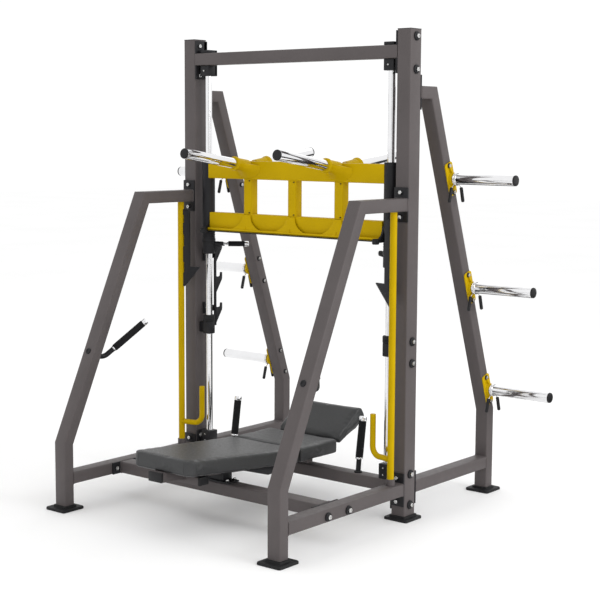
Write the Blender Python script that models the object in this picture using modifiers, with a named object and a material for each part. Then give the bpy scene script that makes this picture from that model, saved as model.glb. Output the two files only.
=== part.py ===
"""Vertical leg press with guide rods: two uprights, four bent side legs, a sliding weight carriage,
latch levers, swinging safety stops, storage horns with spring collars, and a padded bench.

Frame: metres, +Z up. X runs across the machine and -Y is the front (head end of the bench). The
pieces are placed with the uprights at y = 0, and everything is moved back at the end, so that the
origin is on the floor under the middle of the machine.
"""
import math

import bmesh
import bpy
from mathutils import Matrix, Vector

# --- driving dimensions, metres -------------------------------------------------------------
GAP = 0.0003              # clearance between pieces that touch
CUT_PAST = 0.02           # cutters run this far past the faces they open
WALL = 0.003              # wall of the frame tubes

HALF_WIDTH = 0.700        # centre plane to the outer face of the uprights and legs
UPRIGHT_W = 0.075         # upright section across X
UPRIGHT_D = 0.085         # upright section along Y
UPRIGHT_TOP = 2.255

TUBE_W = 0.070            # leg and rail tube across X
TUBE_D = 0.058            # leg and rail tube, the other way
PLATE_T = 0.008           # welded end plates
PLATE_H = 0.156           # end plate height

FOOT_SIZE = 0.130
FOOT_T = 0.013
COLLAR_T = 0.009          # raised rim of a foot around its tube
COLLAR_RIM = 0.008

FRONT_STUB_Z = 1.467      # centre lines of the bent legs
FRONT_CORNER_Y = -0.382
FRONT_LEG_Y = -0.908
FRONT_BEND_Z = 0.319
REAR_STUB_Z = 1.973
REAR_CORNER_Y = 0.156
REAR_LEG_Y = 0.702
REAR_BEND_Z = 0.417
RAIL_Z = 0.150            # centre of the floor rails and crossbeams

BEAM_Z = 2.154            # top beam
BEAM_H = 0.060
BEAM_D = 0.060
BEAM_PLATE_H = 0.195

CROSS_Y = -0.5435         # front crossbeam centre
CROSS_W = 0.080

ROD_X = 0.570             # guide rods
ROD_R = 0.0175
BORE_R = 0.0185
SLEEVE_R = 0.032
SLEEVE_LOW = 1.286
SLEEVE_HIGH = 1.656
HUB_LOW = 1.172
HUB_HIGH = SLEEVE_LOW - 0.0008
HUB_RING_LOW = 1.234
HUB_RING_HIGH = 1.246
HUB_RING_R = 0.034
BLOCK_W = 0.056           # blocks that hold the ends of the guide rods
SOCKET_TOP = 0.250
SOCKET_FLOOR = 0.004

BLOCK_FRONT = -0.030      # block at the top of each guide rod, clamped around the top beam
BLOCK_BACK = 0.036
BLOCK_LOW = 2.071
BLOCK_HIGH = 2.200

STOP_LOW = 0.757          # lower stops: a block on the rod, its bracket and a rubber ring
STOP_HIGH = 0.822
STOP_HALF = 0.022
STOP_BRACKET_HALF = 0.016
STOP_BRACKET_STEP = 0.006    # the bracket is this much thinner than the block, above and below
BUMPER_H = 0.033
BUMPER_R = 0.030

RACK_T = 0.010            # hook racks behind the guide rods
RACK_Y = 0.040
RACK_SPINE = 0.012
RACK_END = 1.216
RACK_TAIL = 0.115         # spine below the lowest hook's top
HOOK_TIP_Y = 0.096
HOOK_TIP_T = 0.011
HOOK_ROOT_DROP = 0.078    # from a notch floor to the foot of its hook
NOTCH_ROUND = 0.006
NOTCH_STEPS = 6
HOOK_TOP = 1.228
HOOK_PITCH = 0.159
HOOK_COUNT = 3
NOTCH_FLOOR = 1.206
RACK_ARMS = (0.885, 1.160)   # heights of the arms from the rack to the upright
RACK_ARM_HALF = 0.015
RACK_FOOT_HALF = 0.030
RACK_FOOT_T = 0.008
RACK_FOOT_FRONT = 0.010

CARRIAGE_BEAM_D = 0.050   # carriage beams and bars
UPPER_BEAM_H = 0.090
LOWER_BEAM_H = 0.084
UPPER_BEAM_Z = 1.603
LOWER_BEAM_Z = 1.344
BAR_X = 0.285
BAR_W = 0.050
BAR_STEP = 0.0005         # a bar's faces lie this far inside the beams' faces
BEAM_END = 0.552          # the upper beam stops here behind its coped face
LOWER_BEAM_END = 0.5408   # the lower beam stops short of the webs

FOOTPLATE_FRONT = -0.045
FOOTPLATE_BACK = 0.105
FOOTPLATE_T = 0.006
FOOTPLATE_HALF = 0.537
LIP_T = 0.004
LIP_H = 0.008
RUBBER_T = 0.006
GUSSET_T = 0.004
GUSSET_STEPS = 8
WEB_T = 0.010             # upright web in front of each sleeve
WEB_IN = 0.5415
WEB_FRONT = -0.086
WEB_RISE = 0.062
NOSE_X = 0.5385           # round bumper at the foot of each web
NOSE_Y = -0.070
NOSE_R = 0.0165
NOSE_LOW = 1.281
NOSE_HIGH = 1.307

HORN_R = 0.025            # bars that hold the weight plates
HORN_TILT = math.radians(8.3)
HORN_REACH = 0.475
HORN_ROOT_Z = 1.620
SOCKET_R = 0.031
SOCKET_REACH = 0.130
CAP_R = 0.0248            # the end caps pass through a weight plate's hole
CAP_T = 0.008
HORN_BORE_R = 0.021

STORE_Z = (1.577, 1.050, 0.525)
STORE_REACH = 0.350
BRACKET_H = 0.160
BRACKET_W = 0.062
BRACKET_T = 0.006
COLLAR_R = 0.033
COLLAR_W = 0.020
COLLAR_GRIP_R = 0.0085
COLLAR_GRIP_L = 0.070

LATCH_RELEASE = math.radians(22)   # the latch pins stand this far out of the hooks at rest
LATCH_PIN_H = 0.018
LATCH_PIN_LIFT = 0.003       # a pin stands this far above the notch floor
LATCH_ARM_OUT = 0.017        # arm and pin, measured from the guide rod's axis
LATCH_ARM_IN = 0.008
LATCH_ARM_START = 0.020
LATCH_ARM_END = 0.082
LATCH_PIN_REACH = 0.008
LATCH_PIN_START = 0.062
LATCH_PIN_END = 0.080
LEVER_AIM = math.atan2(0.135, 0.155)
LEVER_Z = 1.222
LEVER_RUNS = (("root", 0.020, 0.075, 0.011), ("neck", 0.020, 0.120, 0.006),
              ("grip", 0.100, 0.185, 0.0135), ("knob", 0.184, 0.205, 0.015))

SAFETY_X = 0.665          # swinging safety stops
SAFETY_Y = -0.107
SAFETY_R = 0.016
SAFETY_LOW = 0.1793
SAFETY_HIGH = 1.4376
SAFETY_YAW = math.radians(11.5)
SAFETY_COLLAR_R = 0.021
SAFETY_COLLAR_H = 0.030
HANDLE_R = 0.0135
HANDLE_BEND = 0.045
HANDLE_OUT = 0.123
HANDLE_LOW = 0.300
HANDLE_HIGH = 0.494
TOOTH_T = 0.010
TOOTH_REACH = 0.112
TOOTH_WIDTH = 0.054
TOOTH_Z = 1.108
TOOTH_LOW = 1.005
TOOTH_TOP = 1.400
TOOTH_SLOTS = ((1.330, 1.370), (1.210, 1.270), (1.075, 1.130))   # gaps between plate and bar

PAD_T = 0.070             # bench pads
PAD_HALF = 0.222
PAD_CORNER = 0.045        # radius of the head pad's front corners
PAD_SEAM = 0.005          # gap between the head pad and the seat pad
HEAD_FRONT_HALF = 0.188
HEAD_FRONT_Y = -0.935
HEAD_FRONT_Z = 0.363
SEAT_FRONT_Y = -0.214
SEAT_BACK_Y = 0.076
SEAT_Z = 0.302
HIP_HALF = 0.200
HIP_LOW = (0.117, 0.300)  # (y, z) of the hip pad's lower and upper front edges
HIP_TOP = (0.298, 0.433)
SPINE_W = 0.080
SPINE_H = 0.044
SPINE_FRONT_Y = -0.965
NECK_HALF = 0.185         # half the distance over the neck cheeks
NECK_T = 0.008
NECK_LOW = 0.208
NECK_FRONT_Y = -0.585
NECK_KNEE_Y = -0.410
NECK_BACK_Y = -0.290
NECK_BAR_D = 0.040        # cross bar at the foot of the neck cheeks
NECK_BAR_HIGH = 0.232
HEAD_ARM_HALF = 0.132     # cross arm under the front of the head pad
HEAD_ARM_FRONT = -0.815
HEAD_ARM_BACK = -0.757
HEAD_ARM_LOW = 0.224
HEAD_ARM_HIGH = 0.262
SEAT_ARM_HALF = 0.160     # cross arm under the seat pad
SEAT_ARM_FRONT = -0.090
SEAT_ARM_BACK = -0.050
RISER_FRONT_HALF = (0.090, 0.038)    # half sizes across and along of the blocks on the crossbeams
RISER_REAR_HALF = (0.070, 0.034)
RISER_FRONT_HIGH = 0.230
RISER_REAR_HIGH = 0.200
SPINE_KNEE_Y = 0.070      # the spine turns up here into the hip pad's support
HIP_SUPPORT = ((0.262, 0.272), (0.276, 0.340), (0.240, 0.330), (0.150, 0.262), (0.105, 0.238))

HIP_HANDLE_X = 0.400
HIP_HANDLE_KNEE = (0.006, 0.240)     # (y, z) where the post meets the leaning grip
HIP_HANDLE_TIP = (0.036, 0.445)
HIP_BASE_R = 0.020
HIP_POST_R = 0.0125
HIP_GRIP_R = 0.0185
FLANGE_T = 0.006
LEG_FLANGE_R = 0.026
LEG_GRIP_R = 0.0175
LEG_HANDLE_OUT = 0.045
LEG_HANDLE_BEND = 0.035
LEG_HANDLE_Z = 0.730       # where each grab handle leaves the back face of a front leg
LEG_HANDLE_TIP = (0.525, -0.495, 0.878)

ORIGIN_SHIFT = -(FRONT_LEG_Y + REAR_LEG_Y) / 2   # from the uprights to the middle of the feet

CUTTERS = "cutters"

COLOURS = {
    "frame_paint": ((0.115, 0.105, 0.103), 0.45, 0.0),
    "yellow_paint": ((0.62, 0.43, 0.0), 0.40, 0.0),
    "chrome": ((0.82, 0.82, 0.83), 0.12, 1.0),
    "black_paint": ((0.022, 0.022, 0.025), 0.45, 0.0),
    "black_rubber": ((0.018, 0.018, 0.019), 0.75, 0.0),
    "pad_vinyl": ((0.075, 0.077, 0.078), 0.55, 0.0),
}


# --- scene helpers --------------------------------------------------------------------------
def clear_scene():
    for obj in list(bpy.data.objects):
        bpy.data.objects.remove(obj, do_unlink=True)


def collection(name):
    found = bpy.data.collections.get(name)
    if found is None:
        found = bpy.data.collections.new(name)
        bpy.context.scene.collection.children.link(found)
    return found


def material(name):
    found = bpy.data.materials.get(name)
    if found:
        return found
    colour, roughness, metallic = COLOURS[name]
    found = bpy.data.materials.new(name)
    found.use_nodes = True
    shader = found.node_tree.nodes["Principled BSDF"]
    shader.inputs["Base Color"].default_value = (*colour, 1.0)
    shader.inputs["Roughness"].default_value = roughness
    shader.inputs["Metallic"].default_value = metallic
    return found


def add_object(name, data, where="leg_press"):
    obj = bpy.data.objects.new(name, data)
    collection(where).objects.link(obj)
    return obj


def box(name, low, high):
    """A box from its lowest to its highest corner."""
    mesh = bpy.data.meshes.new(name)
    bm = bmesh.new()
    bmesh.ops.create_cube(bm, size=1.0)
    size = Vector(high) - Vector(low)
    centre = (Vector(high) + Vector(low)) / 2
    bmesh.ops.scale(bm, vec=size, verts=bm.verts)
    bmesh.ops.translate(bm, vec=centre, verts=bm.verts)
    bm.to_mesh(mesh)
    bm.free()
    return add_object(name, mesh)


def rod(name, start, end, radius, segments=32, end_radius=None):
    """A round bar between two points; end_radius makes it a cone."""
    start, end = Vector(start), Vector(end)
    axis = end - start
    mesh = bpy.data.meshes.new(name)
    bm = bmesh.new()
    bmesh.ops.create_cone(bm, cap_ends=True, segments=segments, radius1=radius,
                          radius2=radius if end_radius is None else end_radius, depth=axis.length)
    turn = axis.to_track_quat("Z", "Y").to_matrix().to_4x4()
    bmesh.ops.transform(bm, matrix=Matrix.Translation((start + end) / 2) @ turn, verts=bm.verts)
    bm.to_mesh(mesh)
    bm.free()
    return add_object(name, mesh)


def curve_to_mesh(obj):
    """Replace a curve object by its mesh, with the caps welded on."""
    graph = bpy.context.evaluated_depsgraph_get()
    mesh = bpy.data.meshes.new_from_object(obj.evaluated_get(graph))
    bm = bmesh.new()
    bm.from_mesh(mesh)
    bmesh.ops.remove_doubles(bm, verts=bm.verts, dist=0.00001)
    bmesh.ops.recalc_face_normals(bm, faces=bm.faces)
    bm.to_mesh(mesh)
    bm.free()
    name, place = obj.name, obj.matrix_world.copy()
    bpy.data.objects.remove(obj, do_unlink=True)
    made = add_object(name, mesh)
    made.matrix_world = place
    return made


def outline(name, points, thickness, place):
    """A flat outline extruded evenly about its own plane, then moved by place."""
    curve = bpy.data.curves.new(name, "CURVE")
    curve.dimensions = "2D"
    curve.fill_mode = "BOTH"
    curve.extrude = thickness / 2
    spline = curve.splines.new("POLY")
    spline.points.add(len(points) - 1)
    for point, (u, v) in zip(spline.points, points):
        point.co = (u, v, 0.0, 1.0)
    spline.use_cyclic_u = True
    obj = add_object(name, curve)
    obj.matrix_world = place
    bpy.context.view_layer.update()
    return curve_to_mesh(obj)


def side_plane(x):
    """Places an outline's own (u, v) on world (Y, Z) at the given X."""
    return Matrix(((0, 0, 1, x), (1, 0, 0, 0), (0, 1, 0, 0), (0, 0, 0, 1)))


def bent_tube(name, points, radius, segments=4):
    """A round bar along straight runs with the corner points already rounded."""
    curve = bpy.data.curves.new(name, "CURVE")
    curve.dimensions = "3D"
    curve.bevel_depth = radius
    curve.bevel_resolution = segments
    curve.use_fill_caps = True
    spline = curve.splines.new("POLY")
    spline.points.add(len(points) - 1)
    for point, co in zip(spline.points, points):
        point.co = (*co, 1.0)
    obj = add_object(name, curve)
    bpy.context.view_layer.update()
    return curve_to_mesh(obj)


def rounded_path(corners, radius, steps=5):
    """Straight runs through corners, each inner corner replaced by an arc of the given radius."""
    corners = [Vector(c) for c in corners]
    path = [corners[0]]
    for before, corner, after in zip(corners, corners[1:], corners[2:]):
        to_before = (before - corner).normalized()
        to_after = (after - corner).normalized()
        half = to_before.angle(to_after) / 2
        reach = radius / math.tan(half)
        middle = corner + (to_before + to_after).normalized() * (radius / math.sin(half))
        first = corner + to_before * reach - middle
        last = corner + to_after * reach - middle
        turn = first.angle(last)
        for step in range(steps + 1):
            share = step / steps
            spread = (first * math.sin((1 - share) * turn) + last * math.sin(share * turn))
            path.append(middle + spread / math.sin(turn))
    path.append(corners[-1])
    return path


def boolean(obj, other, operation):
    modifier = obj.modifiers.new(operation.lower(), "BOOLEAN")
    modifier.operation = operation
    modifier.solver = "EXACT"
    modifier.object = other
    other.hide_render = True
    other.display_type = "WIRE"
    for home in list(other.users_collection):
        home.objects.unlink(other)
    collection(CUTTERS).objects.link(other)


def bake(obj):
    """Apply the modifiers, so that the object can be cut or joined again."""
    graph = bpy.context.evaluated_depsgraph_get()
    mesh = bpy.data.meshes.new_from_object(obj.evaluated_get(graph))
    obj.modifiers.clear()
    obj.data = mesh
    return obj


def join(name, first, *others):
    first.name = name
    for other in others:
        boolean(first, other, "UNION")
    return first


def cut(obj, *cutters):
    for cutter in cutters:
        cutter.name = f"cutter_{cutter.name}"
        boolean(obj, cutter, "DIFFERENCE")
    return obj


def finish_part(obj, slot, bevel=0.0, smooth=True):
    obj.data.materials.clear()
    obj.data.materials.append(material(slot))
    if bevel:
        modifier = obj.modifiers.new("edges", "BEVEL")
        modifier.width = bevel
        modifier.segments = 1
        modifier.limit_method = "ANGLE"
        modifier.angle_limit = math.radians(50)
    if smooth:
        obj.data.shade_smooth()
        obj.data.set_sharp_from_angle(angle=math.radians(30))
    return obj


SIDES = (("left", -1), ("right", 1))


# --- frame ----------------------------------------------------------------------------------
def ribbon(points, width):
    """The closed outline of a mitred strip along an open line in the plane."""
    half = width / 2
    points = [Vector(p) for p in points]
    normals = []
    for a, b in zip(points, points[1:]):
        along = (b - a).normalized()
        normals.append(Vector((-along.y, along.x)))
    offsets = [normals[0]]
    for before, after in zip(normals, normals[1:]):
        mitre = (before + after).normalized()
        offsets.append(mitre / mitre.dot(before))
    offsets.append(normals[-1])
    upper = [p + o * half for p, o in zip(points, offsets)]
    lower = [p - o * half for p, o in zip(points, offsets)]
    return [tuple(p) for p in upper + lower[::-1]]


def stretched(points, extra):
    """The same open line with both ends drawn out by extra."""
    points = [Vector(p) for p in points]
    first = points[0] + (points[0] - points[1]).normalized() * extra
    last = points[-1] + (points[-1] - points[-2]).normalized() * extra
    return [first] + points[1:-1] + [last]


def square_tube_y(name, x, y0, y1, z, width=TUBE_W, height=TUBE_D):
    tube = box(name, (x - width / 2, y0, z - height / 2), (x + width / 2, y1, z + height / 2))
    hollow = box(f"{name}_hollow", (x - width / 2 + WALL, y0 - 0.02, z - height / 2 + WALL),
                 (x + width / 2 - WALL, y1 + 0.02, z + height / 2 - WALL))
    return tube, hollow


def square_tube_x(name, x0, x1, y, z, depth, height):
    tube = box(name, (x0, y - depth / 2, z - height / 2), (x1, y + depth / 2, z + height / 2))
    hollow = box(f"{name}_hollow", (x0 - 0.02, y - depth / 2 + WALL, z - height / 2 + WALL),
                 (x1 + 0.02, y + depth / 2 - WALL, z + height / 2 - WALL))
    return tube, hollow


def make_uprights():
    for side, s in SIDES:
        x = s * (HALF_WIDTH - UPRIGHT_W / 2)
        low = FOOT_T + COLLAR_T + GAP
        half_w, half_d = UPRIGHT_W / 2, UPRIGHT_D / 2
        tube = box(f"upright_{side}", (x - half_w, -half_d, low), (x + half_w, half_d, UPRIGHT_TOP))
        hollow = box(f"upright_{side}_hollow", (x - half_w + WALL, -half_d + WALL, low - 0.02),
                     (x + half_w - WALL, half_d - WALL, UPRIGHT_TOP + 0.02))
        cut(tube, hollow)
        finish_part(tube, "frame_paint", smooth=False)


def leg_line(front):
    """Centre line (y, z) of a bent leg, from the upright's face to the floor foot."""
    face = UPRIGHT_D / 2 + GAP + PLATE_T * 0.5
    low = FOOT_T + COLLAR_T + GAP
    if front:
        return [(-face, FRONT_STUB_Z), (FRONT_CORNER_Y, FRONT_STUB_Z),
                (FRONT_LEG_Y, FRONT_BEND_Z), (FRONT_LEG_Y, low)]
    return [(face, REAR_STUB_Z), (REAR_CORNER_Y, REAR_STUB_Z),
            (REAR_LEG_Y, REAR_BEND_Z), (REAR_LEG_Y, low)]


def end_plate(name, x, sign, z, width=UPRIGHT_W):
    """A plate on an upright's front (-1) or back (1) face."""
    near = UPRIGHT_D / 2 + GAP
    ys = sorted((sign * near, sign * (near + PLATE_T)))
    return box(name, (x - width / 2, ys[0], z - PLATE_H / 2), (x + width / 2, ys[1], z + PLATE_H / 2))


def make_legs():
    for side, s in SIDES:
        x = s * (HALF_WIDTH - TUBE_W / 2)
        plate_x = s * (HALF_WIDTH - UPRIGHT_W / 2)
        for where, sign, stub_z in (("front", -1, FRONT_STUB_Z), ("rear", 1, REAR_STUB_Z)):
            name = f"leg_{where}_{side}"
            line = leg_line(where == "front")
            leg = outline(name, ribbon(line, TUBE_D), TUBE_W, side_plane(x))
            hollow = outline(f"{name}_hollow", ribbon(stretched(line, 0.02), TUBE_D - 2 * WALL),
                             TUBE_W - 2 * WALL, side_plane(x))
            cut(leg, hollow)
            bake(leg)
            join(name, leg, end_plate(f"{name}_plate", plate_x, sign, stub_z))
            finish_part(leg, "frame_paint", smooth=False)


def make_rails():
    for side, s in SIDES:
        x = s * (HALF_WIDTH - TUBE_W / 2)
        plate_x = s * (HALF_WIDTH - UPRIGHT_W / 2)
        for where, sign, leg_y in (("front", -1, FRONT_LEG_Y), ("rear", 1, REAR_LEG_Y)):
            name = f"rail_{where}_{side}"
            near = sign * (UPRIGHT_D / 2 + GAP + PLATE_T * 0.5)
            far = leg_y - sign * (TUBE_D / 2 + GAP)
            tube, hollow = square_tube_y(name, x, min(near, far), max(near, far), RAIL_Z)
            cut(tube, hollow)
            bake(tube)
            join(name, tube, end_plate(f"{name}_plate", plate_x, sign, RAIL_Z))
            finish_part(tube, "frame_paint", smooth=False)


def make_feet():
    spots = (("front", FRONT_LEG_Y, HALF_WIDTH - TUBE_W / 2, TUBE_W, TUBE_D),
             ("upright", 0.0, HALF_WIDTH - UPRIGHT_W / 2, UPRIGHT_W, UPRIGHT_D),
             ("rear", REAR_LEG_Y, HALF_WIDTH - TUBE_W / 2, TUBE_W, TUBE_D))
    half = FOOT_SIZE / 2
    for side, s in SIDES:
        for where, y, x, width, depth in spots:
            name = f"foot_{where}_{side}"
            pad = box(name, (s * x - half, y - half, 0.0), (s * x + half, y + half, FOOT_T))
            rim_w = width / 2 + COLLAR_RIM
            rim_d = depth / 2 + COLLAR_RIM
            rim = box(f"{name}_rim", (s * x - rim_w, y - rim_d, FOOT_T - 0.004),
                      (s * x + rim_w, y + rim_d, FOOT_T + COLLAR_T))
            join(name, pad, rim)
            finish_part(pad, "black_rubber", smooth=False)


def make_top_beam():
    inner = HALF_WIDTH - UPRIGHT_W - GAP
    y = -UPRIGHT_D / 2 + BEAM_D / 2
    tube, hollow = square_tube_x("top_beam", -inner, inner, y, BEAM_Z, BEAM_D, BEAM_H)
    plates = []
    for side, s in SIDES:
        xs = sorted((s * inner, s * (inner - PLATE_T)))
        plates.append(box(f"top_beam_plate_{side}",
                          (xs[0], -UPRIGHT_D / 2, BEAM_Z - BEAM_PLATE_H / 2),
                          (xs[1], UPRIGHT_D / 2, BEAM_Z + BEAM_PLATE_H / 2 - 0.004)))
    join("top_beam", tube, *plates)
    cut(tube, hollow)
    finish_part(tube, "frame_paint", smooth=False)


def make_crossbeams():
    inner = HALF_WIDTH - TUBE_W - GAP
    tube, hollow = square_tube_x("crossbeam_front", -inner, inner, CROSS_Y, RAIL_Z, CROSS_W, TUBE_D)
    plates = []
    for side, s in SIDES:
        xs = sorted((s * inner, s * (inner - PLATE_T)))
        plates.append(box(f"crossbeam_front_plate_{side}",
                          (xs[0], CROSS_Y - 0.090, RAIL_Z - TUBE_D / 2),
                          (xs[1], CROSS_Y + 0.090, RAIL_Z + TUBE_D / 2)))
    join("crossbeam_front", tube, *plates)
    cut(tube, hollow)
    finish_part(tube, "frame_paint", smooth=False)

    inner = HALF_WIDTH - UPRIGHT_W - GAP
    tube, hollow = square_tube_x("crossbeam_rear", -inner, inner, 0.0, RAIL_Z, TUBE_W, TUBE_D)
    extras = []
    sockets = []
    top = RAIL_Z + TUBE_D / 2
    half = BLOCK_W / 2
    for side, s in SIDES:
        xs = sorted((s * inner, s * (inner - PLATE_T)))
        extras.append(box(f"crossbeam_rear_plate_{side}", (xs[0], -0.040, 0.048),
                          (xs[1], 0.040, 0.246)))
        x = s * ROD_X
        extras.append(box(f"rod_socket_{side}", (x - half, -0.030, top - WALL / 2),
                          (x + half, 0.030, SOCKET_TOP)))
        sockets.append(rod(f"rod_socket_{side}_bore", (x, 0, top + SOCKET_FLOOR),
                           (x, 0, SOCKET_TOP + 0.04), BORE_R))
    join("crossbeam_rear", tube, *extras)
    cut(tube, hollow, *sockets)
    finish_part(tube, "frame_paint", smooth=False)


# --- guide rods, stops and racks ------------------------------------------------------------
def make_guides():
    beam_low = BEAM_Z - BEAM_H / 2
    beam_high = BEAM_Z + BEAM_H / 2
    foot = RAIL_Z + TUBE_D / 2 + SOCKET_FLOOR + GAP
    half = BLOCK_W / 2
    for side, s in SIDES:
        x = s * ROD_X
        bar = rod(f"guide_rod_{side}", (x, 0, foot), (x, 0, beam_low - GAP), ROD_R)
        finish_part(bar, "chrome")

        block = box(f"rod_top_block_{side}", (x - half, BLOCK_FRONT, BLOCK_LOW),
                    (x + half, BLOCK_BACK, BLOCK_HIGH))
        beam_room = box(f"rod_top_block_{side}_beam", (x - BLOCK_W, -BEAM_D, beam_low - GAP),
                        (x + BLOCK_W, -UPRIGHT_D / 2 + BEAM_D + GAP, beam_high + GAP))
        bore = rod(f"rod_top_block_{side}_bore", (x, 0, BLOCK_LOW - CUT_PAST),
                   (x, 0, beam_low + CUT_PAST / 2), BORE_R)
        cut(block, beam_room, bore)
        finish_part(block, "black_paint", smooth=False)

        xs = sorted((x, s * (HALF_WIDTH - UPRIGHT_W - GAP)))
        stop = box(f"lower_stop_{side}", (x - STOP_HALF, -STOP_HALF, STOP_LOW),
                   (x + STOP_HALF, STOP_HALF, STOP_HIGH))
        bracket = box(f"lower_stop_{side}_bracket",
                      (xs[0], -STOP_BRACKET_HALF, STOP_LOW + STOP_BRACKET_STEP),
                      (xs[1], STOP_BRACKET_HALF, STOP_HIGH - STOP_BRACKET_STEP))
        ring = rod(f"lower_stop_{side}_ring", (x, 0, STOP_HIGH - 0.004),
                   (x, 0, STOP_HIGH + BUMPER_H), BUMPER_R)
        bore = rod(f"lower_stop_{side}_bore", (x, 0, STOP_LOW - CUT_PAST),
                   (x, 0, STOP_HIGH + BUMPER_H + CUT_PAST), BORE_R)
        join(f"lower_stop_{side}", stop, bracket, ring)
        cut(stop, bore)
        finish_part(stop, "black_paint", smooth=False)


def hook_outline(tip_z):
    """Outline (y, z) of one upward hook on the rack: a rounded notch behind a blunt tip."""
    buried = RACK_Y + RACK_SPINE * 0.5
    notch_back = RACK_Y + RACK_SPINE
    notch_front = HOOK_TIP_Y - HOOK_TIP_T
    floor = tip_z - (HOOK_TOP - NOTCH_FLOOR)
    middle = (notch_back + notch_front) / 2
    half = (notch_front - notch_back) / 2
    points = [(buried, floor - HOOK_ROOT_DROP), (notch_back + 0.001, floor - HOOK_ROOT_DROP),
              (HOOK_TIP_Y - 0.005, floor - 0.020), (HOOK_TIP_Y, floor - 0.006), (HOOK_TIP_Y, tip_z),
              (notch_front + 0.001, tip_z)]
    for step in range(NOTCH_STEPS + 1):
        angle = math.pi * step / NOTCH_STEPS
        points.append((middle + half * math.cos(angle),
                       floor + NOTCH_ROUND * (1 - math.sin(angle))))
    points.append((buried, floor + 2 * NOTCH_ROUND))
    return points


def make_racks():
    for side, s in SIDES:
        x = s * ROD_X
        name = f"hook_rack_{side}"
        low = HOOK_TOP - (HOOK_COUNT - 1) * HOOK_PITCH - RACK_TAIL
        back = RACK_Y + RACK_SPINE
        spine = box(name, (x - RACK_T / 2, RACK_Y, low), (x + RACK_T / 2, back, RACK_END))
        extras = [outline(f"{name}_hook_{k}", hook_outline(HOOK_TOP - k * HOOK_PITCH), RACK_T,
                          side_plane(x)) for k in range(HOOK_COUNT)]
        face = s * (HALF_WIDTH - UPRIGHT_W - GAP)
        for k, z in enumerate(RACK_ARMS):
            reach = sorted((x, face))
            extras.append(box(f"{name}_arm_{k}", (reach[0], RACK_Y, z - RACK_ARM_HALF),
                              (reach[1], back, z + RACK_ARM_HALF)))
            foot = sorted((face, face - s * RACK_FOOT_T))
            extras.append(box(f"{name}_foot_{k}", (foot[0], RACK_FOOT_FRONT, z - RACK_FOOT_HALF),
                              (foot[1], back, z + RACK_FOOT_HALF)))
        join(name, spine, *extras)
        finish_part(spine, "black_paint", smooth=False)


# --- storage horns --------------------------------------------------------------------------
def rear_leg_y(z):
    """Y of the rear leg's centre line at a height on its sloping run."""
    share = (REAR_STUB_Z - z) / (REAR_STUB_Z - REAR_BEND_Z)
    return REAR_CORNER_Y + share * (REAR_LEG_Y - REAR_CORNER_Y)


def make_storage():
    slope = math.atan2(REAR_LEG_Y - REAR_CORNER_Y, REAR_STUB_Z - REAR_BEND_Z)
    for side, s in SIDES:
        for k, z in enumerate(STORE_Z, start=1):
            y = rear_leg_y(z)
            name = f"storage_horn_{k}_{side}"
            near = s * (HALF_WIDTH + GAP)
            xs = sorted((near, near + s * BRACKET_T))
            plate = box(f"{name}_plate", (xs[0], -BRACKET_W / 2, -BRACKET_H / 2),
                        (xs[1], BRACKET_W / 2, BRACKET_H / 2))
            plate.data.transform(Matrix.Translation((0, y, z)) @ Matrix.Rotation(slope, 4, "X"))
            tube = rod(name, (near + s * 0.001, y, z), (s * (HALF_WIDTH + STORE_REACH), y, z), HORN_R,
                       segments=24)
            cap = rod(f"{name}_cap", (s * (HALF_WIDTH + STORE_REACH - 0.002), y, z),
                      (s * (HALF_WIDTH + STORE_REACH + CAP_T), y, z), CAP_R, segments=24)
            flange = rod(f"{name}_flange", (near + s * 0.001, y, z), (s * (HALF_WIDTH + 0.024), y, z),
                         HORN_R + 0.007, segments=24)
            bore = rod(f"{name}_bore", (near - s * 0.02, y, z),
                       (s * (HALF_WIDTH + STORE_REACH - 0.006), y, z), HORN_BORE_R, segments=24)
            join(name, tube, plate, flange, cap)
            cut(tube, bore)
            finish_part(tube, "chrome")

            clip_x = s * (HALF_WIDTH + 0.025)
            out = clip_x + s * COLLAR_W
            clip_name = f"spring_collar_{k}_{side}"
            ring = rod(clip_name, (clip_x, y, z), (out, y, z), COLLAR_R, segments=24)
            grips = []
            for tag, lean in (("front", -1), ("rear", 1)):
                top = Vector((clip_x + s * COLLAR_W / 2, y + lean * 0.010, z - COLLAR_R + 0.004))
                low = top + Vector((0, lean * 0.022, -COLLAR_GRIP_L))
                grips.append(rod(f"{clip_name}_{tag}", top, low, COLLAR_GRIP_R, segments=12))
            hole = rod(f"{clip_name}_hole", (clip_x - 0.02, y, z), (out + 0.02, y, z),
                       HORN_R + 0.0008, segments=24)
            join(clip_name, ring, *grips)
            cut(ring, hole)
            finish_part(ring, "chrome")


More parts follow.
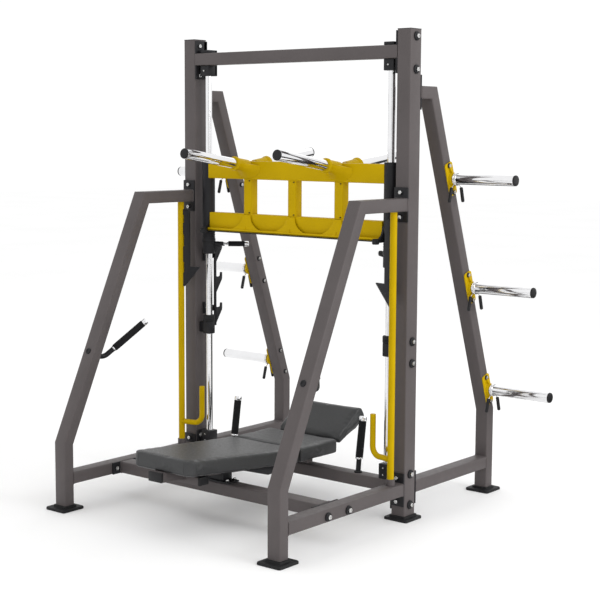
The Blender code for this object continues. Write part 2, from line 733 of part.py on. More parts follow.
# --- carriage -------------------------------------------------------------------------------
def make_carriage():
    half_d = CARRIAGE_BEAM_D / 2
    bar_x = (-BAR_X, 0.0, BAR_X)
    beams = (("upper", UPPER_BEAM_Z, UPPER_BEAM_H / 2), ("lower", LOWER_BEAM_Z, LOWER_BEAM_H / 2))
    upper, lower = [box(f"carriage_{tag}", (-ROD_X, -half_d, z - half_h), (ROD_X, half_d, z + half_h))
                    for tag, z, half_h in beams]
    bars = [box(f"carriage_bar_{k}", (x - BAR_W / 2, -half_d + BAR_STEP, LOWER_BEAM_Z),
                (x + BAR_W / 2, half_d - BAR_STEP, UPPER_BEAM_Z)) for k, x in enumerate(bar_x)]
    join("carriage_frame", upper, lower, *bars)
    bake(upper)
    hollows = [box(f"carriage_hollow_{tag}", (-ROD_X - 0.02, -half_d + WALL, z - half_h + WALL),
                   (ROD_X + 0.02, half_d - WALL, z + half_h - WALL)) for tag, z, half_h in beams]
    hollows += [box(f"carriage_bar_hollow_{k}", (x - BAR_W / 2 + WALL, -half_d + 2 * WALL, LOWER_BEAM_Z),
                    (x + BAR_W / 2 - WALL, half_d - 2 * WALL, UPPER_BEAM_Z)) for k, x in enumerate(bar_x)]
    room_low, room_high = HUB_LOW, SLEEVE_HIGH + 0.1
    split = (UPPER_BEAM_Z + LOWER_BEAM_Z) / 2
    ends = []
    for side, s in SIDES:
        ends.append(rod(f"carriage_cope_{side}", (s * ROD_X, 0, room_low), (s * ROD_X, 0, room_high),
                        SLEEVE_R + 0.0008))
        for tag, end, top in (("upper", BEAM_END, room_high), ("lower", LOWER_BEAM_END, split)):
            xs = sorted((s * end, s * (ROD_X + 0.05)))
            ends.append(box(f"carriage_end_{tag}_{side}", (xs[0], -0.1, room_low), (xs[1], 0.1, top)))
    cut(upper, *hollows, *ends)
    finish_part(upper, "yellow_paint", smooth=False)


def make_footplate():
    """Plate under the lower beam with a raised front lip, three scalloped gussets and its rubber."""
    half_d = CARRIAGE_BEAM_D / 2
    top = LOWER_BEAM_Z - LOWER_BEAM_H / 2 - GAP
    plate = box("footplate", (-FOOTPLATE_HALF, FOOTPLATE_FRONT, top - FOOTPLATE_T),
                (FOOTPLATE_HALF, FOOTPLATE_BACK, top))
    lip_back = FOOTPLATE_FRONT + LIP_T
    lip = box("footplate_lip", (-FOOTPLATE_HALF, FOOTPLATE_FRONT, top - FOOTPLATE_T),
              (FOOTPLATE_HALF, lip_back, top + LIP_H))
    rise = LOWER_BEAM_H - 0.004
    run = -half_d - GUSSET_T - lip_back
    slant = math.hypot(rise, run)
    tilt = math.atan2(rise, run)
    flare = BAR_X / 2 - 0.002
    flank = []
    for step in range(GUSSET_STEPS + 1):
        angle = math.pi / 2 * step / GUSSET_STEPS
        flank.append((BAR_W / 2 + (flare - BAR_W / 2) * (1 - math.cos(angle)),
                      slant * (1 - math.sin(angle))))
    shape = flank + [(-u, v) for u, v in reversed(flank)]
    gussets = [outline(f"footplate_gusset_{k}", shape, GUSSET_T,
                       Matrix.Translation((x, lip_back, top - 0.002)) @ Matrix.Rotation(tilt, 4, "X"))
               for k, x in enumerate((-BAR_X, 0.0, BAR_X))]
    join("footplate", plate, lip, *gussets)
    beam_room = box("footplate_room", (-1, -half_d - GAP, top + 0.0001), (1, half_d + GAP, top + 0.2))
    cut(plate, beam_room)
    finish_part(plate, "yellow_paint", smooth=False)

    low = top - FOOTPLATE_T - GAP
    rubber = box("foot_rubber", (-FOOTPLATE_HALF, FOOTPLATE_FRONT, low - RUBBER_T),
                 (FOOTPLATE_HALF, FOOTPLATE_BACK, low))
    finish_part(rubber, "black_rubber", smooth=False)


def make_sleeves():
    """Bored sleeve around each guide rod, with a front web that ends in a round bumper."""
    back = CARRIAGE_BEAM_D / 2
    low = SLEEVE_LOW + 0.002
    toe = 0.012
    steps = 6
    for side, s in SIDES:
        x = s * ROD_X
        name = f"guide_sleeve_{side}"
        sleeve = rod(name, (x, 0, SLEEVE_LOW), (x, 0, SLEEVE_HIGH), SLEEVE_R)
        web_points = [(back, low), (WEB_FRONT, low)]
        for step in range(steps + 1):
            angle = math.pi / 2 * step / steps
            web_points.append((WEB_FRONT + (-back - WEB_FRONT) * math.sin(angle),
                               low + toe + WEB_RISE * (1 - math.cos(angle))))
        web_points.append((back, low + toe + WEB_RISE))
        web = outline(f"{name}_web", web_points, WEB_T, side_plane(s * (WEB_IN + WEB_T / 2)))
        nose = rod(f"{name}_nose", (s * NOSE_X, NOSE_Y, NOSE_LOW), (s * NOSE_X, NOSE_Y, NOSE_HIGH), NOSE_R,
                   segments=24)
        bore = rod(f"{name}_bore", (x, 0, HUB_LOW), (x, 0, SLEEVE_HIGH + 0.1), BORE_R)
        join(name, sleeve, web, nose)
        cut(sleeve, bore)
        finish_part(sleeve, "black_paint")


def horn_point(s, lean, along):
    return Vector((s * BAR_X, lean * along * math.cos(HORN_TILT),
                   HORN_ROOT_Z + along * math.sin(HORN_TILT)))


def make_carriage_horns():
    half_d = CARRIAGE_BEAM_D / 2
    for side, s in SIDES:
        for where, lean in (("front", -1), ("rear", 1)):
            name = f"weight_horn_{where}_{side}"
            tube = rod(name, horn_point(s, lean, 0.0), horn_point(s, lean, HORN_REACH), HORN_R,
                       segments=24)
            socket = rod(f"{name}_socket", horn_point(s, lean, 0.0),
                         horn_point(s, lean, SOCKET_REACH), SOCKET_R, segments=24)
            cap = rod(f"{name}_cap", horn_point(s, lean, HORN_REACH - 0.002),
                      horn_point(s, lean, HORN_REACH + CAP_T), CAP_R, segments=24)
            join(name, tube, socket, cap)
            ys = sorted((-lean * 0.2, lean * (half_d + GAP)))
            room = box(f"{name}_room", (s * BAR_X - 0.1, ys[0], LOWER_BEAM_Z),
                       (s * BAR_X + 0.1, ys[1], HORN_ROOT_Z + 0.2))
            bore = rod(f"{name}_bore", horn_point(s, lean, -0.02),
                       horn_point(s, lean, HORN_REACH - 0.006), HORN_BORE_R, segments=24)
            cut(tube, room, bore)
            finish_part(tube, "chrome")


def set_axis_empty(name, point, *children):
    """An empty on a joint's axis that carries the moving pieces."""
    empty = add_object(name, None)
    empty.location = point
    bpy.context.view_layer.update()
    for child in children:
        child.parent = empty
        child.matrix_parent_inverse = empty.matrix_world.inverted()
    return empty


def make_levers():
    """Rotating hub under each sleeve, with its latch arm, latch pin and hand grip."""
    pin_low = NOTCH_FLOOR + LATCH_PIN_LIFT
    pin_high = pin_low + LATCH_PIN_H
    for side, s in SIDES:
        x = s * ROD_X
        name = f"latch_lever_{side}"
        hub = rod(name, (x, 0, HUB_LOW), (x, 0, HUB_HIGH), SLEEVE_R)
        ring = rod(f"{name}_ring", (x, 0, HUB_RING_LOW), (x, 0, HUB_RING_HIGH), HUB_RING_R)
        turn = (Matrix.Translation((x, 0, 0)) @ Matrix.Rotation(s * LATCH_RELEASE, 4, "Z")
                @ Matrix.Translation((-x, 0, 0)))
        arm_x = sorted((x - s * LATCH_ARM_OUT, x - s * LATCH_ARM_IN))
        arm = box(f"{name}_arm", (arm_x[0], LATCH_ARM_START, pin_low),
                  (arm_x[1], LATCH_ARM_END, pin_high))
        pin_x = sorted((x - s * (LATCH_ARM_IN + 0.002), x + s * LATCH_PIN_REACH))
        pin = box(f"{name}_pin", (pin_x[0], LATCH_PIN_START, pin_low),
                  (pin_x[1], LATCH_PIN_END, pin_high))
        arm.data.transform(turn)
        pin.data.transform(turn)
        outward = Vector((-s * math.cos(LEVER_AIM), math.sin(LEVER_AIM), 0.0))
        centre = Vector((x, 0.0, LEVER_Z))
        runs = [rod(f"{name}_{tag}", centre + outward * start, centre + outward * end, radius, segments=16)
                for tag, start, end, radius in LEVER_RUNS]
        bore = rod(f"{name}_bore", (x, 0, HUB_LOW - CUT_PAST), (x, 0, HUB_HIGH + CUT_PAST), BORE_R)
        join(name, hub, ring, arm, pin, *runs)
        cut(hub, bore)
        finish_part(hub, "black_paint")
        set_axis_empty(f"{name}_axis", (x, 0, HUB_LOW), hub)


# --- safety stops ---------------------------------------------------------------------------
def make_safety_stops():
    for side, s in SIDES:
        x, y = s * SAFETY_X, SAFETY_Y
        name = f"safety_stop_{side}"
        inward = Vector((-s * math.cos(SAFETY_YAW), math.sin(SAFETY_YAW), 0.0))
        base = Vector((x, y, 0.0))
        bar = rod(name, (x, y, SAFETY_LOW), (x, y, SAFETY_HIGH), SAFETY_R, segments=24)
        collar = rod(f"{name}_collar", (x, y, SAFETY_LOW), (x, y, SAFETY_LOW + SAFETY_COLLAR_H),
                     SAFETY_COLLAR_R, segments=24)
        path = rounded_path([base + Vector((0, 0, HANDLE_LOW)),
                             base + inward * HANDLE_OUT + Vector((0, 0, HANDLE_LOW)),
                             base + inward * HANDLE_OUT + Vector((0, 0, HANDLE_HIGH))], HANDLE_BEND)
        handle = bent_tube(f"{name}_handle", path, HANDLE_R, segments=3)
        gap_edge = SAFETY_R + 0.005
        buried = SAFETY_R / 2
        shape = [(buried, TOOTH_LOW), (gap_edge, TOOTH_LOW), (TOOTH_REACH, TOOTH_Z - 0.004),
                 (TOOTH_REACH, TOOTH_Z), (TOOTH_WIDTH, TOOTH_Z), (TOOTH_WIDTH, TOOTH_TOP - 0.012),
                 (TOOTH_WIDTH - 0.012, TOOTH_TOP), (buried, TOOTH_TOP)]
        for low, high in TOOTH_SLOTS:
            shape += [(buried, high), (gap_edge, high), (gap_edge, low), (buried, low)]
        up = Vector((0, 0, 1))
        across = inward.cross(up)
        place = Matrix.Translation(base) @ Matrix((
            (inward.x, up.x, across.x, 0), (inward.y, up.y, across.y, 0),
            (inward.z, up.z, across.z, 0), (0, 0, 0, 1)))
        plate = outline(f"{name}_plate", shape, TOOTH_T, place)
        join(name, bar, collar, handle, plate)
        finish_part(bar, "yellow_paint")
        set_axis_empty(f"{name}_axis", (x, y, SAFETY_LOW), bar)


# --- bench ----------------------------------------------------------------------------------
def pad_bottom(y):
    """Height of the head pad's underside."""
    slope = (SEAT_Z - HEAD_FRONT_Z) / (SEAT_FRONT_Y - HEAD_FRONT_Y)
    return HEAD_FRONT_Z - PAD_T + slope * (y - HEAD_FRONT_Y)


def hip_outline(grow=0.0):
    """Outline of the hip pad, u along its front face and v out of it; grow drops its underside."""
    length = math.hypot(HIP_TOP[0] - HIP_LOW[0], HIP_TOP[1] - HIP_LOW[1])
    front = [(-0.016, -0.012), (0.0, -0.001), (0.010, 0.0), (length - 0.014, 0.0), (length, -0.010)]
    back = [(length - 0.003, -PAD_T + 0.012), (length - 0.016, -PAD_T), (0.122, -PAD_T + 0.003),
            (-0.021, -0.032)]
    return front + [(u, v - grow) for u, v in back]


def hip_place():
    tilt = math.atan2(HIP_TOP[1] - HIP_LOW[1], HIP_TOP[0] - HIP_LOW[0])
    return Matrix.Translation((0.0, *HIP_LOW)) @ Matrix.Rotation(tilt, 4, "X") @ side_plane(0.0)


def make_bench():
    """Spine with its arms, risers, neck cheeks and hip support, cut to the hip pad's underside."""
    under_seat = SEAT_Z - PAD_T - GAP
    frame = outline("bench_frame", [
        (SPINE_FRONT_Y, pad_bottom(SPINE_FRONT_Y) - GAP - SPINE_H),
        (SEAT_FRONT_Y, pad_bottom(SEAT_FRONT_Y) - GAP - SPINE_H),
        (SPINE_KNEE_Y, under_seat - SPINE_H), *HIP_SUPPORT, (SEAT_BACK_Y + 0.003, under_seat),
        (SEAT_FRONT_Y, pad_bottom(SEAT_FRONT_Y) - GAP),
        (SPINE_FRONT_Y, pad_bottom(SPINE_FRONT_Y) - GAP)], SPINE_W, side_plane(0.0))
    seat = RAIL_Z + TUBE_D / 2 + GAP
    cheek = [(NECK_FRONT_Y, pad_bottom(NECK_FRONT_Y) - GAP - 0.001), (NECK_KNEE_Y, NECK_LOW),
             (NECK_BACK_Y, NECK_LOW), (NECK_BACK_Y, pad_bottom(NECK_BACK_Y) - GAP),
             (NECK_FRONT_Y, pad_bottom(NECK_FRONT_Y) - GAP)]
    arms = [outline(f"bench_cheek_{side}", cheek, NECK_T, side_plane(s * (NECK_HALF - NECK_T / 2)))
            for side, s in SIDES]
    neck = NECK_HALF - NECK_T / 2
    arms += [
        box("bench_arm_head", (-HEAD_ARM_HALF, HEAD_ARM_FRONT, HEAD_ARM_LOW),
            (HEAD_ARM_HALF, HEAD_ARM_BACK, HEAD_ARM_HIGH)),
        box("bench_arm_neck", (-neck, NECK_BACK_Y - NECK_BAR_D, NECK_LOW),
            (neck, NECK_BACK_Y, NECK_BAR_HIGH)),
        box("bench_arm_seat", (-SEAT_ARM_HALF, SEAT_ARM_FRONT, RISER_REAR_HIGH),
            (SEAT_ARM_HALF, SEAT_ARM_BACK, under_seat))]
    for tag, y, (across, along), top in (
            ("front", CROSS_Y, RISER_FRONT_HALF, RISER_FRONT_HIGH),
            ("rear", 0.0, RISER_REAR_HALF, RISER_REAR_HIGH)):
        arms.append(box(f"bench_riser_{tag}", (-across, y - along, seat), (across, y + along, top)))
    join("bench_frame", frame, *arms)
    pad_room = outline("bench_pad_room", hip_outline(2 * GAP), 2 * HIP_HALF, hip_place())
    cut(frame, pad_room)
    finish_part(frame, "frame_paint", smooth=False)


def make_pads():
    pitch = math.atan2(SEAT_Z - HEAD_FRONT_Z, SEAT_FRONT_Y - HEAD_FRONT_Y)
    stretch = 1 / math.cos(pitch)
    steps = 5
    corner = []
    for step in range(steps + 1):
        angle = math.pi / 2 * step / steps
        corner.append((HEAD_FRONT_HALF - PAD_CORNER + PAD_CORNER * math.sin(angle),
                       HEAD_FRONT_Y + PAD_CORNER - PAD_CORNER * math.cos(angle)))
    head = [(-u, v) for u, v in reversed(corner)] + corner
    join_y = SEAT_FRONT_Y - 0.3 * PAD_SEAM
    head += [(PAD_HALF, join_y), (-PAD_HALF, join_y)]
    flat = [(u, (v - SEAT_FRONT_Y) * stretch) for u, v in head]
    middle = Matrix.Translation((0, SEAT_FRONT_Y, SEAT_Z - PAD_T / 2)) @ Matrix.Rotation(pitch, 4, "X")
    finish_part(outline("pad_head", flat, PAD_T - GAP, middle), "pad_vinyl")

    seat_pad = box("pad_seat", (-PAD_HALF, SEAT_FRONT_Y + 0.7 * PAD_SEAM, SEAT_Z - PAD_T),
                   (PAD_HALF, SEAT_BACK_Y, SEAT_Z))
    finish_part(seat_pad, "pad_vinyl")
    finish_part(outline("pad_hip", hip_outline(), 2 * HIP_HALF, hip_place()), "pad_vinyl")


def make_handles():
    foot = RAIL_Z + TUBE_D / 2 + GAP
    along = Vector((0.0, FRONT_LEG_Y - FRONT_CORNER_Y, FRONT_BEND_Z - FRONT_STUB_Z)).normalized()
    normal = Vector((0.0, -along.z, along.y))
    drop = (LEG_HANDLE_Z - FRONT_STUB_Z) / along.z
    for side, s in SIDES:
        x = s * HIP_HANDLE_X
        name = f"hip_handle_{side}"
        knee = Vector((x, *HIP_HANDLE_KNEE))
        base = rod(name, (x, 0.0, foot), (x, 0.0, foot + FLANGE_T), HIP_BASE_R, segments=24)
        post = rod(f"{name}_post", (x, 0.0, foot + FLANGE_T / 2), knee, HIP_POST_R, segments=20)
        grip = rod(f"{name}_grip", knee - Vector((0, 0, 0.004)), (x, *HIP_HANDLE_TIP), HIP_GRIP_R,
                   segments=20)
        join(name, base, post, grip)
        finish_part(base, "black_paint")

        name = f"leg_handle_{side}"
        centre = Vector((s * (HALF_WIDTH - TUBE_W / 2), FRONT_CORNER_Y, FRONT_STUB_Z)) + along * drop
        root = centre + normal * (TUBE_D / 2 + GAP)
        tip = Vector((s * LEG_HANDLE_TIP[0], LEG_HANDLE_TIP[1], LEG_HANDLE_TIP[2]))
        flange = rod(name, root, root + normal * FLANGE_T, LEG_FLANGE_R, segments=24)
        path = rounded_path([root + normal * FLANGE_T / 2, root + normal * LEG_HANDLE_OUT, tip],
                            LEG_HANDLE_BEND)
        bar = bent_tube(f"{name}_bar", path, LEG_GRIP_R, segments=4)
        join(name, flange, bar)
        finish_part(flange, "black_paint")


def main():
    clear_scene()
    make_uprights()
    make_legs()
    make_rails()
    make_feet()
    make_top_beam()
    make_crossbeams()
    make_guides()
    make_racks()
    make_storage()
    make_carriage()
    make_footplate()
    make_sleeves()
    make_carriage_horns()
    make_levers()
    make_safety_stops()
    make_bench()
    make_pads()
    make_handles()
    for obj in bpy.data.objects:
        if obj.parent is None:
            obj.location.y += ORIGIN_SHIFT
    bpy.context.view_layer.update()


main()
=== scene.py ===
"""Looks of the vertical leg press: rounded tubes, welds, bolts, chrome bars, spring collars, grips and
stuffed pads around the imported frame. Metres, +Z up, X across the machine, -Y towards its front.
"""

import math

import bmesh
import bpy
from mathutils import Matrix, Vector
from mathutils.bvhtree import BVHTree


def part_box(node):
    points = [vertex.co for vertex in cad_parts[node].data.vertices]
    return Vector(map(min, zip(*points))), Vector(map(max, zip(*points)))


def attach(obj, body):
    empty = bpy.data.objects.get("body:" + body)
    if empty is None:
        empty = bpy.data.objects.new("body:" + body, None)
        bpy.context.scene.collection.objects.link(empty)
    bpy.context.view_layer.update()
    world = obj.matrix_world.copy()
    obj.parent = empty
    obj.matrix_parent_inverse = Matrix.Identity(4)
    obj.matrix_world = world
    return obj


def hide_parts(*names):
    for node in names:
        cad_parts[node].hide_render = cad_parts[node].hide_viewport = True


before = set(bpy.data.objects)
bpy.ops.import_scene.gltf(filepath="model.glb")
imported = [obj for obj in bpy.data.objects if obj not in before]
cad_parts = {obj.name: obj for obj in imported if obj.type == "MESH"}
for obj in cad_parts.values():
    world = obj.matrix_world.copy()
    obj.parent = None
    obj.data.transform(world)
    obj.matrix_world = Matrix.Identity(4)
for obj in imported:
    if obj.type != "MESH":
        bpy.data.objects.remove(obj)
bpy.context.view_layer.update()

SIDES = (("left", -1), ("right", 1))
CLEAR = 0.0003            # the gap the frame's touching pieces keep
SKIN = 0.0004             # how far a black cover stands proud of the tube or plate under it

# --- places read from the frame -------------------------------------------------------------
UPRIGHT_LOW, UPRIGHT_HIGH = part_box("upright_right")
MID_Y = (UPRIGHT_LOW.y + UPRIGHT_HIGH.y) / 2          # plane of the uprights and guide rods
UPRIGHT_D = UPRIGHT_HIGH.y - UPRIGHT_LOW.y
HALF_WIDTH = UPRIGHT_HIGH.x
INNER_X = UPRIGHT_LOW.x
ROD_LOW, ROD_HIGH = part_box("guide_rod_right")
ROD_X = (ROD_LOW.x + ROD_HIGH.x) / 2
ROD_R = (ROD_HIGH.x - ROD_LOW.x) / 2
FOOT_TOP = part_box("foot_upright_right")[1].z

# --- sizes of the frame's bent legs and beams -----------------------------------------------
TUBE_W = 0.070
TUBE_D = 0.058
TUBE_R = 0.006            # outer corner radius of the tubes
FRONT_LINE = ((-0.043, 1.467), (-0.382, 1.467), (-0.908, 0.319))       # (y, z) along the front leg
REAR_LINE = ((0.043, 1.973), (0.156, 1.973), (0.702, 0.417))           # and along the rear leg
RAIL_Z = 0.150            # middle of the floor rails and crossbeams
CROSS_W = 0.080           # front crossbeam across its length
BEAM_LOW = 2.124          # top beam
BEAM_HIGH = 2.184
BEAM_D = 0.060
OUTER_BOLT_Z = (2.221, 2.074, 0.839, 0.738, 0.218, 0.073)
PLATE_T = 0.008           # end plates of the rails and beams
PLATE_H = 0.156
CARRIAGE_D = 0.050        # carriage beams: depth, heights and middles
UPPER_H = 0.090
LOWER_H = 0.084
UPPER_Z = 1.603
LOWER_Z = 1.344
LOWER_END = 0.5405        # the lower beam stops here, short of the webs
BORE_R = 0.0182           # sleeves and latch hubs around the guide rods
SLEEVE_R = 0.032
BAR_X = 0.285             # bars between the carriage beams, and the weight bars
BAR_W = 0.050
HORN_R = 0.025            # every bar for weight plates
HORN_TILT = math.radians(8.3)
HORN_ROOT_Z = 1.620
HORN_REACH = 0.475
STORE_Z = (1.577, 1.050, 0.525)      # storage horns on the rear legs
STORE_REACH = 0.350
SAFETY_X = 0.665          # safety stops: place, rod, handle and tooth plate
SAFETY_DY = -0.107
SAFETY_R = 0.016
SAFETY_YAW = math.radians(11.5)
TOOTH_REACH = 0.112
SAFETY_HANDLE_R = 0.0135
TOOTH_TOP = 1.400
TOOTH_WIDTH = 0.054
TOOTH_Z = 1.108           # top edge of the tooth itself
TOOTH_SLOTS = ((1.330, 1.370), (1.210, 1.270), (1.075, 1.130))
LATCH_RELEASE = math.radians(22)     # the pins stand this far out of the hooks at rest
LATCH_PIN_H = 0.018
LATCH_AIM = math.atan2(0.135, 0.155)
LATCH_Z = 1.222
RACK_FRONT = 0.040        # hook racks, behind the guide rods
RACK_BACK = 0.052
RACK_TOP = 1.216
RACK_ARM_Z = (0.885, 1.160)
HOOK_COUNT = 3
HOOK_TOP = 1.228
HOOK_PITCH = 0.159
HOOK_TIP_Y = 0.096
HOOK_TIP_T = 0.011
NOTCH_DROP = 0.022
STOP_LOW = 0.757          # lower stops on the guide rods
STOP_HIGH = 0.822
STOP_HALF = 0.022
HEAD_FRONT_HALF = 0.188   # pads
HEAD_FRONT_Y = -0.935
HEAD_FRONT_Z = 0.363
HEAD_CORNER = 0.045
SEAT_FRONT_Y = -0.214
SEAT_Z = 0.302
HEAD_SLOPE = (SEAT_Z - HEAD_FRONT_Z) / (SEAT_FRONT_Y - HEAD_FRONT_Y)
HIP_LOW = (0.117, 0.300)
HIP_TOP = (0.298, 0.433)
SPINE_W = 0.080           # bench spine
SPINE_H = 0.044
SPINE_FRONT_Y = -0.965
ARM_HEAD_Y = (-0.815, -0.757)        # cross arms under the pads, front and back faces
ARM_NECK_Y = (-0.330, -0.290)
ARM_SEAT_Y = (-0.090, -0.050)
CROSS_Y = -0.5435
HIP_HANDLE_X = 0.400      # handles beside the hip pad
HIP_HANDLE_KNEE = (0.006, 0.240)
HIP_HANDLE_TIP = (0.036, 0.445)
HIP_GRIP_R = 0.0182
LEG_HANDLE_Z = 0.730      # where each leg handle leaves its leg
LEG_HANDLE_TIP = (-0.495, 0.878, 0.525)
LEG_GRIP_R = 0.0170
POST_R = 0.0122           # posts of the hip handles


# --- materials ------------------------------------------------------------------------------
class Graph:
    """A short way to add and link the nodes of one material."""

    def __init__(self, name, colour, roughness, metallic=0.0):
        self.material = bpy.data.materials.new(name)
        self.material.use_nodes = True
        self.material.diffuse_color = (*colour, 1.0)
        self.nodes = self.material.node_tree.nodes
        self.links = self.material.node_tree.links
        self.shader = self.nodes["Principled BSDF"]
        self.shader.inputs["Base Color"].default_value = (*colour, 1.0)
        self.shader.inputs["Roughness"].default_value = roughness
        self.shader.inputs["Metallic"].default_value = metallic
        self.place = self.nodes.new("ShaderNodeTexCoord").outputs["Object"]

    def add(self, kind, **settings):
        node = self.nodes.new(kind)
        for key, value in settings.items():
            setattr(node, key, value)
        return node

    def noise(self, scale, detail=3.0):
        node = self.add("ShaderNodeTexNoise")
        node.inputs["Scale"].default_value = scale
        node.inputs["Detail"].default_value = detail
        self.links.new(self.place, node.inputs["Vector"])
        return node.outputs["Fac"]

    def cells(self, scale, feature="F1"):
        node = self.add("ShaderNodeTexVoronoi", feature=feature)
        node.inputs["Scale"].default_value = scale
        self.links.new(self.place, node.inputs["Vector"])
        return node.outputs["Distance"]

    def span(self, source, low, high, start=0.3, end=0.7):
        """Maps source from start..end onto low..high."""
        node = self.add("ShaderNodeMapRange")
        node.inputs["From Min"].default_value = start
        node.inputs["From Max"].default_value = end
        node.inputs["To Min"].default_value = low
        node.inputs["To Max"].default_value = high
        self.links.new(source, node.inputs["Value"])
        return node.outputs["Result"]

    def mix(self, factor, first, second):
        node = self.add("ShaderNodeMix", data_type="RGBA")
        self.links.new(factor, node.inputs["Factor"])
        colour_sockets = [s for s in node.inputs if s.type == "RGBA"]
        for socket, value in zip(colour_sockets, (first, second)):
            if hasattr(value, "links"):
                self.links.new(value, socket)
            else:
                socket.default_value = (*value, 1.0)
        return [s for s in node.outputs if s.type == "RGBA"][0]

    def bump(self, height, strength, distance, base=None):
        node = self.add("ShaderNodeBump")
        node.inputs["Strength"].default_value = strength
        node.inputs["Distance"].default_value = distance
        self.links.new(height, node.inputs["Height"])
        if base is not None:
            self.links.new(base, node.inputs["Normal"])
        return node.outputs["Normal"]

    def set(self, socket, source):
        self.links.new(source, self.shader.inputs[socket])

    def upward(self):
        """1 on faces that look up, 0 elsewhere."""
        geometry = self.add("ShaderNodeNewGeometry")
        split = self.add("ShaderNodeSeparateXYZ")
        self.links.new(geometry.outputs["Normal"], split.inputs["Vector"])
        return self.span(split.outputs["Z"], 0.0, 1.0, 0.6, 1.0)


def shade(colour, factor):
    return tuple(min(1.0, c * factor) for c in colour)


def powder_coat(name, colour, roughness, peel=0.10, gloss=0.25):
    """Painted steel: slow colour drift, orange peel, uneven gloss and a trace of dust on top."""
    g = Graph(name, colour, roughness)
    drift = g.span(g.noise(5.0, 4.0), 0.0, 1.0)
    base = g.mix(drift, shade(colour, 0.93), shade(colour, 1.07))
    fleck = g.span(g.noise(1400.0, 1.0), 0.0, 0.16, 0.52, 0.75)
    speckled = g.mix(fleck, base, shade(colour, 1.5))
    dust = g.nodes.new("ShaderNodeMath")
    dust.operation = "MULTIPLY"
    g.links.new(g.upward(), dust.inputs[0])
    g.links.new(g.span(g.noise(60.0, 5.0), 0.0, 0.05), dust.inputs[1])
    dusty = g.mix(dust.outputs[0], speckled, (0.45, 0.44, 0.43))
    g.set("Base Color", dusty)
    g.set("Roughness", g.span(g.noise(38.0, 4.0), roughness - 0.06, roughness + 0.07))
    slow = g.bump(g.noise(260.0, 2.0), peel, 0.0006)
    g.set("Normal", g.bump(g.noise(900.0, 2.0), peel * 0.8, 0.0003, slow))
    g.shader.inputs["Specular IOR Level"].default_value = gloss
    return g.material


def polished(name, colour, roughness):
    """Plated or polished metal with a faint fine grain and handling haze."""
    g = Graph(name, colour, roughness, 1.0)
    haze = g.span(g.noise(14.0, 6.0), 0.0, 1.0)
    g.set("Base Color", g.mix(haze, colour, shade(colour, 0.94)))
    g.set("Roughness", g.span(g.noise(55.0, 5.0), roughness * 0.7, roughness * 1.5))
    g.set("Normal", g.bump(g.noise(900.0, 2.0), 0.03, 0.0002))
    return g.material


def rubbery(name, colour, roughness, scale, strength):
    """Moulded rubber or foam: fine pores, uneven sheen and paler scuffs."""
    g = Graph(name, colour, roughness)
    scuff = g.span(g.noise(24.0, 6.0), 0.0, 0.35, 0.5, 0.75)
    g.set("Base Color", g.mix(scuff, colour, shade(colour, 2.0)))
    g.set("Roughness", g.span(g.noise(90.0, 3.0), roughness - 0.10, min(1.0, roughness + 0.10)))
    coarse = g.bump(g.noise(scale * 0.35, 2.0), strength * 0.5, 0.0006)
    g.set("Normal", g.bump(g.cells(scale), strength, 0.0005, coarse))
    g.shader.inputs["Specular IOR Level"].default_value = 0.25
    return g.material


def vinyl(name, colour):
    """Upholstery vinyl: pebble grain, creases and a soft broken sheen."""
    g = Graph(name, colour, 0.5)
    worn = g.span(g.noise(7.0, 5.0), 0.0, 1.0)
    base = g.mix(worn, shade(colour, 0.90), shade(colour, 1.10))
    pores = g.span(g.cells(900.0, "DISTANCE_TO_EDGE"), 0.55, 0.0, 0.0, 0.12)
    g.set("Base Color", g.mix(pores, base, shade(colour, 0.45)))
    g.set("Roughness", g.span(g.noise(120.0, 3.0), 0.36, 0.50))
    crease = g.bump(g.noise(45.0, 5.0), 0.10, 0.0012)
    g.set("Normal", g.bump(g.cells(900.0, "DISTANCE_TO_EDGE"), 0.35, 0.0004, crease))
    g.shader.inputs["Specular IOR Level"].default_value = 0.55
    return g.material


def thread(name, colour):
    """Twisted sewing thread."""
    g = Graph(name, colour, 0.7)
    twist = g.add("ShaderNodeTexWave", wave_type="BANDS", bands_direction="DIAGONAL")
    twist.inputs["Scale"].default_value = 600.0
    g.links.new(g.place, twist.inputs["Vector"])
    g.set("Base Color", g.mix(twist.outputs["Fac"], shade(colour, 0.6), colour))
    g.set("Normal", g.bump(twist.outputs["Fac"], 0.4, 0.0003))
    return g.material


PAINT = powder_coat("frame powder coat", (0.093, 0.081, 0.081), 0.50)
YELLOW = powder_coat("yellow powder coat", (0.50, 0.330, 0.0010), 0.42, 0.08, 0.05)
BLACK = powder_coat("black powder coat", (0.012, 0.012, 0.014), 0.42)
CHROME = polished("chrome plate", (0.86, 0.86, 0.87), 0.07)
ZINC = polished("zinc plate", (0.74, 0.74, 0.73), 0.22)
RUBBER = rubbery("black rubber", (0.011, 0.011, 0.012), 0.62, 700.0, 0.25)
FOAM = rubbery("grip foam", (0.008, 0.008, 0.009), 0.85, 1100.0, 0.7)
PLASTIC = rubbery("moulded plastic", (0.011, 0.011, 0.012), 0.40, 500.0, 0.15)
VINYL = vinyl("pad vinyl", (0.028, 0.029, 0.030))
THREAD = thread("seam thread", (0.020, 0.020, 0.021))


# --- mesh building --------------------------------------------------------------------------
def piece(name, bm, material, body, *replaced):
    """Turns bm into a finished piece that rides on body and stands for the replaced nodes."""
    bmesh.ops.recalc_face_normals(bm, faces=bm.faces)
    mesh = bpy.data.meshes.new(name)
    bm.to_mesh(mesh)
    bm.free()
    obj = bpy.data.objects.new(name, mesh)
    bpy.context.scene.collection.objects.link(obj)
    mesh.materials.append(material)
    mesh.shade_smooth()
    mesh.set_sharp_from_angle(angle=math.radians(32))
    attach(obj, body)
    if replaced:
        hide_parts(*replaced)
    return obj


